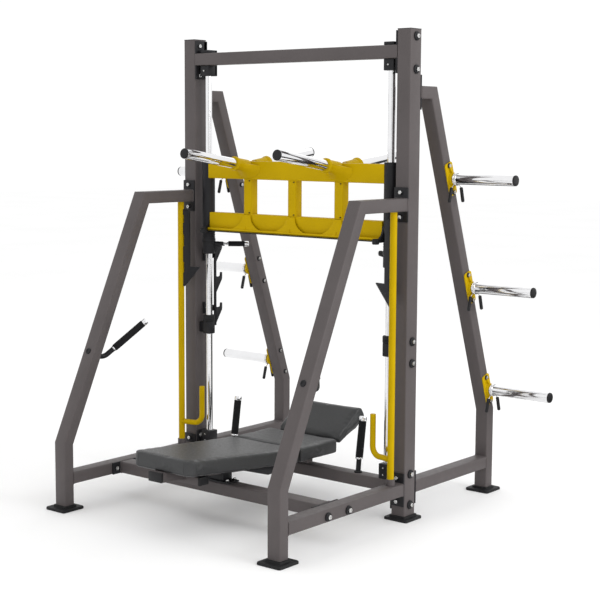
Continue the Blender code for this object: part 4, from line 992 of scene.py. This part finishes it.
def build_weight_horns():
    half_d = CARRIAGE_D / 2
    for side, s in SIDES:
        for where, lean in (("front", -1), ("rear", 1)):
            along = Vector((0, lean * math.cos(HORN_TILT), math.sin(HORN_TILT)))
            root = at(0.0, HORN_ROOT_Z, s * BAR_X)
            place = aimed(root, along)
            node = f"weight_horn_{where}_{side}"
            horn(f"weight_bar_{where}_{side}", place, half_d + 0.004, HORN_REACH, "carriage", node)
            build_saddle(f"weight_saddle_{where}_{side}", root, along, lean, s)


def build_saddle(name, root, along, lean, s):
    """Yellow socket that flares down onto the face of the upper beam."""
    half_d = CARRIAGE_D / 2
    socket_end = 0.130
    socket_r = 0.0305
    bm = bmesh.new()
    place = aimed(root, along)
    turned(bm, ((HORN_R + 0.0002, half_d + 0.006), (socket_r, half_d + 0.006), (socket_r, socket_end - 0.020),
                (0.0345, socket_end - 0.015), (0.0350, socket_end - 0.012), (0.0350, socket_end - 0.003),
                (0.0335, socket_end), (HORN_R + 0.0002, socket_end)), place, 56, loop=True)
    rings = []
    steps = 9
    for k in range(steps + 1):
        share = k / steps
        reach = half_d + 0.0005 + share * 0.085
        spread = (1 - share) ** 2.2
        centre = root + along * (reach / math.cos(HORN_TILT))
        width = socket_r * 0.86 + 0.058 * spread
        drop = socket_r * 0.90 + 0.036 * spread
        lift = socket_r * 0.50
        ring = []
        for j in range(25):
            angle = math.pi * j / 24
            ring.append(centre + Vector((width * math.cos(angle), 0, -drop * math.sin(angle) ** 0.8)))
        for j in range(1, 12):
            back = math.pi * j / 12
            hollow = lift * math.sin(back) * (1 - 0.3 * spread)
            ring.append(centre + Vector((-width * math.cos(back), 0, hollow)))
        rings.append(ring)
    loft(bm, rings)
    piece(name, bm, YELLOW, "carriage")


def build_levers():
    for side, s in SIDES:
        node = f"latch_lever_{side}"
        body = f"latch_{side}"
        low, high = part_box(node)
        x = s * ROD_X
        outer, bore = SLEEVE_R, BORE_R
        length = high.z - low.z
        bm = bmesh.new()
        turned(bm, ((bore, 0.0), (outer - 0.002, 0.0), (outer, 0.002), (outer, 0.058), (outer + 0.002, 0.060),
                    (outer + 0.002, 0.076), (outer, 0.078), (outer, 0.088), (outer - 0.0015, 0.089),
                    (outer - 0.0015, 0.091), (outer, 0.092), (outer, length - 0.012),
                    (outer - 0.0015, length - 0.011), (outer - 0.0015, length - 0.009),
                    (outer, length - 0.008), (outer, length - 0.001),
                    (bore, length)), Matrix.Translation((x, MID_Y, low.z)), 56, loop=True)
        pivot = at(0.0, 0.0, x)
        turn = Matrix.Translation(pivot) @ Matrix.Rotation(s * LATCH_RELEASE, 4, "Z")
        floor = HOOK_TOP - NOTCH_DROP + 0.003
        top = floor + LATCH_PIN_H
        box(bm, (-s * 0.017, 0.020, floor), (-s * 0.008, 0.082, top), 0.0015, turn)
        box(bm, (-s * 0.010, 0.062, floor), (s * 0.008, 0.080, top), 0.002, turn)
        direction = Vector((-s * math.cos(LATCH_AIM), math.sin(LATCH_AIM), 0.0))
        hinge = at(0.0, LATCH_Z, x)
        turned(bm, ((0.0125, 0.020), (0.0125, 0.052), (0.0110, 0.055), (0.0110, 0.072), (0.0085, 0.075),
                    (0.0, 0.075)), aimed(hinge, direction), 28)
        cheek = [(0.026, low.z + 0.006), (outer, low.z + 0.006), (0.060, LATCH_Z - 0.010),
                 (0.060, LATCH_Z + 0.008), (0.026, LATCH_Z + 0.012)]
        slab(bm, cheek, 0.008, standing(pivot, direction), 0.001)
        piece(f"latch_hub_{side}", bm, BLACK, body, node)

        bm = bmesh.new()
        turned(bm, ((0.0, 0.074), (0.0055, 0.074), (0.0055, 0.090), (0.0078, 0.092), (0.0078, 0.099),
                    (0.0, 0.100)), aimed(hinge, direction), 28)
        turned(bm, ((0.0, 0.183), (0.0125, 0.183), (0.0142, 0.185), (0.0142, 0.198), (0.0125, 0.2035),
                    (0.0080, 0.205), (0.0, 0.205)), aimed(hinge, direction), 32)
        piece(f"latch_chrome_{side}", bm, CHROME, body)
        bm = bmesh.new()
        turned(bm, grip_profile(0.099, 0.184, 0.0135, 0.006), aimed(hinge, direction), 32)
        piece(f"latch_grip_{side}", bm, FOAM, body)


def grip_profile(start, end, radius, core):
    """A foam grip: rounded ends and shallow rings near both ends."""
    profile = [(core, start), (radius - 0.0015, start + 0.0003), (radius, start + 0.002)]
    for edge in (start + 0.008, start + 0.013):
        profile += [(radius, edge), (radius - 0.0008, edge + 0.0008), (radius, edge + 0.0016)]
    for edge in (end - 0.0145, end - 0.0095):
        profile += [(radius, edge), (radius - 0.0008, edge + 0.0008), (radius, edge + 0.0016)]
    profile += [(radius, end - 0.002), (radius - 0.0015, end - 0.0003), (core, end)]
    return profile


# --- safety stops ---------------------------------------------------------------------------
def build_safety():
    for side, s in SIDES:
        node = f"safety_stop_{side}"
        body = f"safety_{side}"
        low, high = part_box(node)
        base = at(SAFETY_DY, 0.0, s * SAFETY_X)
        inward = Vector((-s * math.cos(SAFETY_YAW), math.sin(SAFETY_YAW), 0.0))
        bm = bmesh.new()
        turned(bm, ((SAFETY_R, low.z + 0.026), (SAFETY_R, high.z - 0.0015), (SAFETY_R - 0.0015, high.z)),
               Matrix.Translation(base), 40)
        reach, foot, top = 0.123, 0.300, 0.494
        path = rounded_path([base + Vector((0, 0, foot)), base + inward * reach + Vector((0, 0, foot)),
                             base + inward * reach + Vector((0, 0, top - 0.001))], 0.045, 12)
        radii = [SAFETY_HANDLE_R] * len(path)
        path.append(path[-1] + Vector((0, 0, 0.001)))
        radii.append(0.0122)
        pipe(bm, path, SAFETY_HANDLE_R, 28, radii=radii)
        up = Vector((0, 0, 1))
        weld_ring(bm, base + inward * (SAFETY_R - 0.0005) + up * foot, inward.cross(up), up,
                  SAFETY_HANDLE_R, 0.0022)
        piece(f"safety_bar_{side}", bm, YELLOW, body, node)

        bm = bmesh.new()
        turned(bm, ((0.0, low.z), (0.0195, low.z), (0.021, low.z + 0.0015), (0.021, low.z + 0.0285),
                    (0.0195, low.z + 0.030), (0.0, low.z + 0.030)), Matrix.Translation(base), 36)
        piece(f"safety_collar_{side}", bm, PAINT, body)

        gap, buried = SAFETY_R + 0.005, SAFETY_R / 2
        shape = [(buried, 1.005), (gap, 1.005), (TOOTH_REACH - 0.001, TOOTH_Z - 0.0045),
                 (TOOTH_REACH, TOOTH_Z - 0.002), (TOOTH_REACH - 0.002, TOOTH_Z),
                 (TOOTH_WIDTH, TOOTH_Z), (TOOTH_WIDTH, TOOTH_TOP - 0.012),
                 (TOOTH_WIDTH - 0.012, TOOTH_TOP), (buried, TOOTH_TOP)]
        for bottom, top in TOOTH_SLOTS:
            shape += [(buried, top), (gap, top), (gap, bottom), (buried, bottom)]
        bm = bmesh.new()
        slab(bm, shape, 0.010, standing(base, inward), 0.0012)
        piece(f"safety_tooth_{side}", bm, BLACK, body)


# --- bench ----------------------------------------------------------------------------------
def build_bench(bolts):
    seat_low, seat_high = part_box("pad_seat")
    pad_t = seat_high.z - seat_low.z

    def under(y):
        """Underside of the head pad at a distance behind the uprights."""
        return HEAD_FRONT_Z - pad_t + HEAD_SLOPE * (y - HEAD_FRONT_Y)

    drop = CLEAR + SPINE_H / 2
    line = [(SPINE_FRONT_Y + 0.004, under(SPINE_FRONT_Y) - drop), (SEAT_FRONT_Y, under(SEAT_FRONT_Y) - drop),
            (0.070, seat_low.z - drop), (0.262, 0.291)]
    bm = bmesh.new()
    tube_run(bm, 0.0, shifted(line), SPINE_W, SPINE_H, 0.005)
    piece("bench_spine", bm, PAINT, "frame", "bench_frame")

    bm = bmesh.new()
    for s in (-1, 1):
        box(bm, at(ARM_HEAD_Y[0], 0.224, s * 0.132), at(ARM_HEAD_Y[1], 0.262, s * 0.118), 0.002)
    box(bm, at(SPINE_FRONT_Y, under(SPINE_FRONT_Y) - CLEAR - SPINE_H, -0.0404),
        at(SPINE_FRONT_Y + 0.014, under(SPINE_FRONT_Y) - CLEAR - 0.0004, 0.0404), 0.002)
    piece("bench_caps", bm, PLASTIC, "frame")

    bm = bmesh.new()
    for (front, back), z, half, height in ((ARM_HEAD_Y, 0.243, 0.124, 0.038),
                                           (ARM_NECK_Y, 0.220, 0.178, 0.024),
                                           (ARM_SEAT_Y, 0.2157, 0.160, 0.031)):
        middle = (front + back) / 2
        straight_tube(bm, at(middle, z, -half), at(middle, z, half), back - front, height, 0.004)
    piece("bench_arms", bm, PAINT, "frame")

    bm = bmesh.new()
    tip_y, back_y, low_z = -0.583, ARM_NECK_Y[1], 0.208
    cheek = [(tip_y, under(tip_y) - CLEAR - 0.002), (-0.410, low_z), (back_y, low_z),
             (back_y, under(back_y) - CLEAR), (tip_y, under(tip_y) - CLEAR)]
    for s in (-1, 1):
        slab(bm, shifted(cheek), 0.0079, side_plane(s * 0.181), 0.0012)
    rest = [(0.222, 0.277), (0.258, 0.272), (0.272, 0.290), (0.268, 0.318), (0.252, 0.3155),
            (0.200, 0.294)]
    slab(bm, shifted(rest), 0.070, side_plane(0.0), 0.002)
    piece("bench_plates", bm, BLACK, "frame")

    seat = RAIL_Z + TUBE_D / 2 + CLEAR
    bm = bmesh.new()
    box(bm, at(CROSS_Y - 0.038, seat, -0.090), at(CROSS_Y + 0.038, seat + 0.008, 0.090), 0.0015)
    for s in (-1, 1):
        box(bm, at(CROSS_Y - 0.030, seat + 0.006, s * 0.0404), at(CROSS_Y + 0.030, 0.262, s * 0.052), 0.0015)
    box(bm, at(CROSS_Y - 0.030, seat + 0.006, -0.046), at(CROSS_Y + 0.030, 0.232, 0.046), 0.0015)
    box(bm, at(-0.034, seat, -0.070), at(0.034, 0.200, 0.070), 0.0015)
    piece("bench_risers", bm, BLACK, "frame")
    for s in (-1, 1):
        for dy in (-0.024, 0.024):
            bolts.bolt(at(CROSS_Y + dy, seat + 0.008, s * 0.073), (0, 0, 1), head=0.0075, washer=0.011)
        bolts.bolt(at(CROSS_Y, 0.243, s * 0.052), (s, 0, 0), head=0.0075, washer=0.011)


def pad_outline_head():
    """Corner points (x, y) of the head pad as seen from above, with rounded front corners."""
    low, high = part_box("pad_head")
    points = []
    for step in range(9):
        angle = math.pi / 2 * step / 8
        points.append((HEAD_FRONT_HALF - HEAD_CORNER + HEAD_CORNER * math.sin(angle),
                       low.y + HEAD_CORNER - HEAD_CORNER * math.cos(angle)))
    left = [(-x, y) for x, y in reversed(points)]
    return left + points + [(high.x, high.y), (-high.x, high.y)]


def stuffed(name, node, swell, inset, keep_flat):
    """A pad blown up from its CAD solid: remeshed, inflated as cloth, and smoothed."""
    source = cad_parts[node]
    mesh = source.data.copy()
    mesh.name = name
    mesh.materials.clear()
    obj = bpy.data.objects.new(name, mesh)
    bpy.context.scene.collection.objects.link(obj)
    bm = bmesh.new()
    bm.from_mesh(mesh)
    bmesh.ops.remove_doubles(bm, verts=bm.verts, dist=0.00005)
    low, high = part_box(node)
    centre = (low + high) / 2
    scale = Vector(1 - 2 * inset / (high[k] - low[k]) for k in range(3))
    for vert in bm.verts:
        vert.co = Vector(centre[k] + (vert.co[k] - centre[k]) * scale[k] for k in range(3))
    bm.to_mesh(mesh)
    bm.free()

    remesh = obj.modifiers.new("remesh", "REMESH")
    remesh.mode = "VOXEL"
    remesh.voxel_size = 0.0055
    apply_modifiers(obj)
    rest = [v.co.copy() for v in obj.data.vertices]
    inflate(obj)
    for vert, home in zip(obj.data.vertices, rest):
        move = vert.co - home
        if move.length > swell:
            move *= swell / move.length
        if home.z < keep_flat:
            move.z = max(move.z, -inset)
        vert.co = home + move
    smooth = obj.modifiers.new("smooth", "SMOOTH")
    smooth.factor = 0.5
    smooth.iterations = 5
    divide = obj.modifiers.new("divide", "SUBSURF")
    divide.levels = 1
    divide.render_levels = 1
    apply_modifiers(obj)
    obj.data.materials.clear()
    obj.data.materials.append(VINYL)
    obj.data.shade_smooth()
    return obj


def apply_modifiers(obj):
    graph = bpy.context.evaluated_depsgraph_get()
    mesh = bpy.data.meshes.new_from_object(obj.evaluated_get(graph))
    obj.modifiers.clear()
    old = obj.data
    obj.data = mesh
    bpy.data.meshes.remove(old)


def inflate(obj):
    """Runs a short pressure simulation without gravity and keeps its last shape."""
    cloth = obj.modifiers.new("cloth", "CLOTH")
    cloth.settings.quality = 4
    cloth.settings.mass = 0.3
    cloth.settings.tension_stiffness = 20
    cloth.settings.compression_stiffness = 20
    cloth.settings.bending_stiffness = 8.0
    cloth.settings.use_pressure = True
    cloth.settings.uniform_pressure_force = 4.0
    cloth.settings.effector_weights.gravity = 0.0
    cloth.point_cache.frame_start = 1
    cloth.point_cache.frame_end = 20
    scene = bpy.context.scene
    for number in range(1, 21):
        scene.frame_set(number)
    apply_modifiers(obj)
    scene.frame_set(1)


def seam(name, obj, loops, radius=0.0011, sink=0.0003):
    """Piping laid on the pad's surface along closed or open point lists."""
    bm = bmesh.new()
    bm.from_mesh(obj.data)
    tree = BVHTree.FromBMesh(bm)
    bm.free()
    out = bmesh.new()
    for points, closed in loops:
        laid = []
        for point in points:
            near, normal = tree.find_nearest(Vector(point))[:2]
            laid.append(near - normal * sink)
        laid = [sum((laid[(k + d) % len(laid)] if closed else laid[min(max(k + d, 0), len(laid) - 1)]
                     for d in (-1, 0, 1)), Vector()) / 3 for k in range(len(laid))]
        if closed:
            closed_pipe(out, laid, radius, 6)
        else:
            pipe(out, laid, radius, 6)
    return piece(name, out, THREAD, "frame")


def dense(points, closed, step=0.006):
    """The same line with extra points, so it can follow a curved surface."""
    points = [Vector(p) for p in points]
    ends = points[1:] + points[:1] if closed else points[1:]
    made = []
    for a, b in zip(points, ends):
        count = max(1, int((b - a).length / step))
        made += [a.lerp(b, k / count) for k in range(count)]
    if not closed:
        made.append(points[-1])
    return made


def build_pads():
    head = stuffed("head_pad", "pad_head", 0.0045, 0.0025, 0.27)
    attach(head, "frame")
    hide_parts("pad_head")

    def head_z(y, offset):
        return SEAT_Z + HEAD_SLOPE * (y - MID_Y - SEAT_FRONT_Y) + offset

    loops = [(dense([(x, y, head_z(y, -0.0635)) for x, y in pad_outline_head()], True), True)]
    low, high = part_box("pad_head")
    for s in (-1, 1):
        for x, y in ((HEAD_FRONT_HALF, low.y + HEAD_CORNER), (HEAD_FRONT_HALF - HEAD_CORNER, low.y)):
            upright = [(s * x, y, head_z(y, -0.062)), (s * x, y, head_z(y, -0.008))]
            loops.append((dense(upright, False), False))
    seam("head_pad_seams", head, loops)

    seat = stuffed("seat_pad", "pad_seat", 0.0045, 0.0025, 0.26)
    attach(seat, "frame")
    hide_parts("pad_seat")
    low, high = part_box("pad_seat")
    corners = [(low.x, low.y), (high.x, low.y), (high.x, high.y), (low.x, high.y)]
    loops = [(dense([(x, y, low.z + 0.007) for x, y in corners], True), True)]
    for x, y in corners:
        loops.append((dense([(x, y, low.z + 0.008), (x, y, high.z - 0.008)], False), False))
    seam("seat_pad_seams", seat, loops)

    hip = stuffed("hip_pad", "pad_hip", 0.0055, 0.0030, 0.0)
    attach(hip, "frame")
    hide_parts("pad_hip")
    low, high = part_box("pad_hip")
    rise, run = HIP_TOP[1] - HIP_LOW[1], HIP_TOP[0] - HIP_LOW[0]
    length = math.hypot(rise, run)
    place = Matrix.Translation(at(*HIP_LOW)) @ Matrix.Rotation(math.atan2(rise, run), 4, "X")
    section = [(0.0, -0.006), (length - 0.006, -0.006), (length - 0.010, -0.064), (0.122, -0.061),
               (-0.014, -0.028)]
    loops = []
    for s in (-1, 1):
        loops.append((dense([place @ Vector((s * high.x, u, v)) for u, v in section], True), True))
    seam("hip_pad_seams", hip, loops)


def build_handles():
    seat = RAIL_Z + TUBE_D / 2 + CLEAR
    for side, s in SIDES:
        x = s * HIP_HANDLE_X
        lower = at(0.0, seat, x)
        bend = at(*HIP_HANDLE_KNEE, x)
        top = at(*HIP_HANDLE_TIP, x)
        along = (top - bend).normalized()
        length = (top - bend).length
        bm = bmesh.new()
        turned(bm, ((0.0, 0.0), (0.020, 0.0), (0.020, 0.004), (0.0185, 0.006), (0.0125, 0.006),
                    (0.0, 0.0062)), Matrix.Translation(lower), 32)
        pipe(bm, rounded_path([lower + Vector((0, 0, 0.003)), bend, bend + along * 0.02], 0.015), POST_R, 24)
        weld_ring(bm, lower + Vector((0, 0, 0.0065)), Vector((1, 0, 0)), Vector((0, 1, 0)), 0.0125, 0.0020)
        piece(f"hip_handle_post_{side}", bm, BLACK, "frame", f"hip_handle_{side}")
        place = aimed(bend, along)
        bm = bmesh.new()
        turned(bm, ((0.0, 0.002), (0.0172, 0.002), (0.0180, 0.0035), (0.0180, 0.0085), (0.0172, 0.010),
                    (0.0, 0.010)), place, 32)
        turned(bm, ((0.0, length - 0.022), (0.0175, length - 0.022), (0.0184, length - 0.0205),
                    (0.0184, length - 0.004), (0.0165, length - 0.0005), (0.0, length)), place, 32)
        piece(f"hip_handle_chrome_{side}", bm, CHROME, "frame")
        bm = bmesh.new()
        turned(bm, grip_profile(0.010, length - 0.022, HIP_GRIP_R, 0.010), place, 32)
        piece(f"hip_handle_grip_{side}", bm, FOAM, "frame")

        build_leg_handle(side, s)


def build_leg_handle(side, s):
    (y0, z0), (y1, z1) = FRONT_LINE[1], FRONT_LINE[2]
    along = Vector((0.0, y1 - y0, z1 - z0)).normalized()
    normal = Vector((0.0, -along.z, along.y))
    centre = at(y0, z0, s * (HALF_WIDTH - TUBE_W / 2)) + along * ((LEG_HANDLE_Z - z0) / along.z)
    root = centre + normal * (TUBE_D / 2 + CLEAR)
    tip = at(LEG_HANDLE_TIP[0], LEG_HANDLE_TIP[1], s * LEG_HANDLE_TIP[2])
    path = rounded_path([root + normal * 0.003, root + normal * 0.045, tip], 0.035, 10)
    bend_end = path[-2]
    out = (tip - bend_end).normalized()
    length = (tip - bend_end).length
    bm = bmesh.new()
    turned(bm, ((0.0, 0.0), (0.026, 0.0), (0.026, 0.004), (0.024, 0.006), (0.014, 0.006), (0.0, 0.0062)),
           aimed(root, normal), 36)
    pipe(bm, path[:-1] + [bend_end + out * 0.045], 0.0125, 24)
    piece(f"leg_handle_bar_{side}", bm, BLACK, "frame", f"leg_handle_{side}")
    place = aimed(bend_end, out)
    bm = bmesh.new()
    turned(bm, ((0.0, 0.040), (0.0168, 0.040), (0.0168, 0.046), (0.0, 0.046)), place, 32)
    turned(bm, ((0.0, length - 0.020), (0.0160, length - 0.020), (0.0170, length - 0.018),
                (0.0170, length - 0.004), (0.0150, length), (0.0, length)), place, 32)
    piece(f"leg_handle_chrome_{side}", bm, CHROME, "frame")
    bm = bmesh.new()
    turned(bm, grip_profile(0.046, length - 0.020, LEG_GRIP_R, 0.010), place, 32)
    piece(f"leg_handle_grip_{side}", bm, FOAM, "frame")
    bm = bmesh.new()
    face = centre - normal * (TUBE_D / 2)
    turned(bm, ((0.0, -0.0002), (0.0150, -0.0002), (0.0150, 0.003), (0.0130, 0.0048), (0.0075, 0.0050),
                (0.0070, 0.0030), (0.0, 0.0030)), aimed(face, -normal), 32)
    piece(f"leg_handle_nut_{side}", bm, BLACK, "frame")


# --- stage ----------------------------------------------------------------------------------
def build_stage():
    floor = bpy.data.meshes.new("floor")
    bm = bmesh.new()
    bmesh.ops.create_grid(bm, x_segments=2, y_segments=2, size=30.0)
    bm.to_mesh(floor)
    bm.free()
    ground = bpy.data.objects.new("floor", floor)
    bpy.context.scene.collection.objects.link(ground)
    g = Graph("studio floor", (0.96, 0.96, 0.96), 0.75)
    g.set("Base Color", g.mix(g.span(g.noise(0.8, 3.0), 0.0, 1.0), (0.95, 0.95, 0.95), (0.97, 0.97, 0.97)))
    g.shader.inputs["Specular IOR Level"].default_value = 0.0
    floor.materials.append(g.material)

    world = bpy.data.worlds.new("studio")
    world.use_nodes = True
    background = world.node_tree.nodes["Background"]
    background.inputs["Color"].default_value = (1.0, 1.0, 1.0, 1.0)
    background.inputs["Strength"].default_value = 1.04
    bpy.context.scene.world = world
    bpy.context.scene.view_settings.view_transform = "Standard"

    soft_light("key", (5.5, 0.2, 3.2), (0.0, 0.0, 1.0), 2.5, 95.0)
    soft_light("back", (-1.5, 5.0, 3.6), (0.0, 0.0, 1.2), 3.0, 20.0)

    dark = Graph("studio cloth", (0.006, 0.006, 0.006), 0.9)
    dark.set("Base Color", dark.mix(dark.span(dark.noise(3.0, 3.0), 0.0, 1.0), (0.004, 0.004, 0.004),
                                    (0.008, 0.008, 0.008)))
    for name, start, side, rise in (
            ("ground_card", (-1.4, 1.2, 0.004), (9.4, 0.0, 0.0), (0.0, 7.8, 0.0)),
            ("front_card", (-6.0, -6.5, 0.5), (8.5, 0.0, 0.0), (0.0, 0.0, 0.4)),
            ("side_card", (4.2, -6.4, 0.0), (0.7, 0.4, 0.0), (0.0, 0.0, 4.5))):
        reflected_card(name, Vector(start), Vector(side), Vector(rise), dark.material)


def reflected_card(name, start, side, rise, material):
    """A dark studio card that only reflections show; it draws the black bands in polished metal."""
    bm = bmesh.new()
    corners = (start, start + side, start + side + rise, start + rise)
    bm.faces.new([bm.verts.new(corner) for corner in corners])
    mesh = bpy.data.meshes.new(name)
    bm.to_mesh(mesh)
    bm.free()
    card = bpy.data.objects.new(name, mesh)
    mesh.materials.append(material)
    bpy.context.scene.collection.objects.link(card)
    card.visible_camera = False
    card.visible_diffuse = False
    card.visible_shadow = False


def soft_light(name, place, target, size, power):
    light = bpy.data.lights.new(name, "AREA")
    light.shape = "SQUARE"
    light.size = size
    light.energy = power
    obj = bpy.data.objects.new(name, light)
    obj.location = place
    aim = Vector(target) - Vector(place)
    obj.rotation_euler = aim.to_track_quat("-Z", "Y").to_euler()
    bpy.context.scene.collection.objects.link(obj)


def build_camera():
    """The viewpoint: front right, a little above the middle, looking slightly down."""
    camera = bpy.data.cameras.new("view")
    camera.lens = 83.01
    camera.sensor_width = 36.0
    obj = bpy.data.objects.new("view", camera)
    turn = (Matrix.Rotation(math.radians(39.243), 4, "Z") @ Matrix.Rotation(math.radians(83.191), 4, "X")
            @ Matrix.Rotation(math.radians(0.303), 4, "Z"))
    obj.matrix_world = Matrix.Translation((4.2752, -5.1904 + MID_Y, 1.7789)) @ turn
    bpy.context.scene.collection.objects.link(obj)
    bpy.context.scene.camera = obj


def main():
    build_camera()
    build_stage()
    frame_bolts = Fasteners("frame", "frame")
    build_uprights(frame_bolts)
    build_legs(frame_bolts)
    build_rails(frame_bolts)
    build_feet()
    build_top_beam(frame_bolts)
    build_crossbeams(frame_bolts)
    build_guides(frame_bolts)
    build_racks(frame_bolts)
    build_storage(frame_bolts)
    build_carriage()
    build_footplate()
    build_sleeves()
    build_weight_horns()
    build_levers()
    build_safety()
    build_bench(frame_bolts)
    build_pads()
    build_handles()
    frame_bolts.finish()


main()
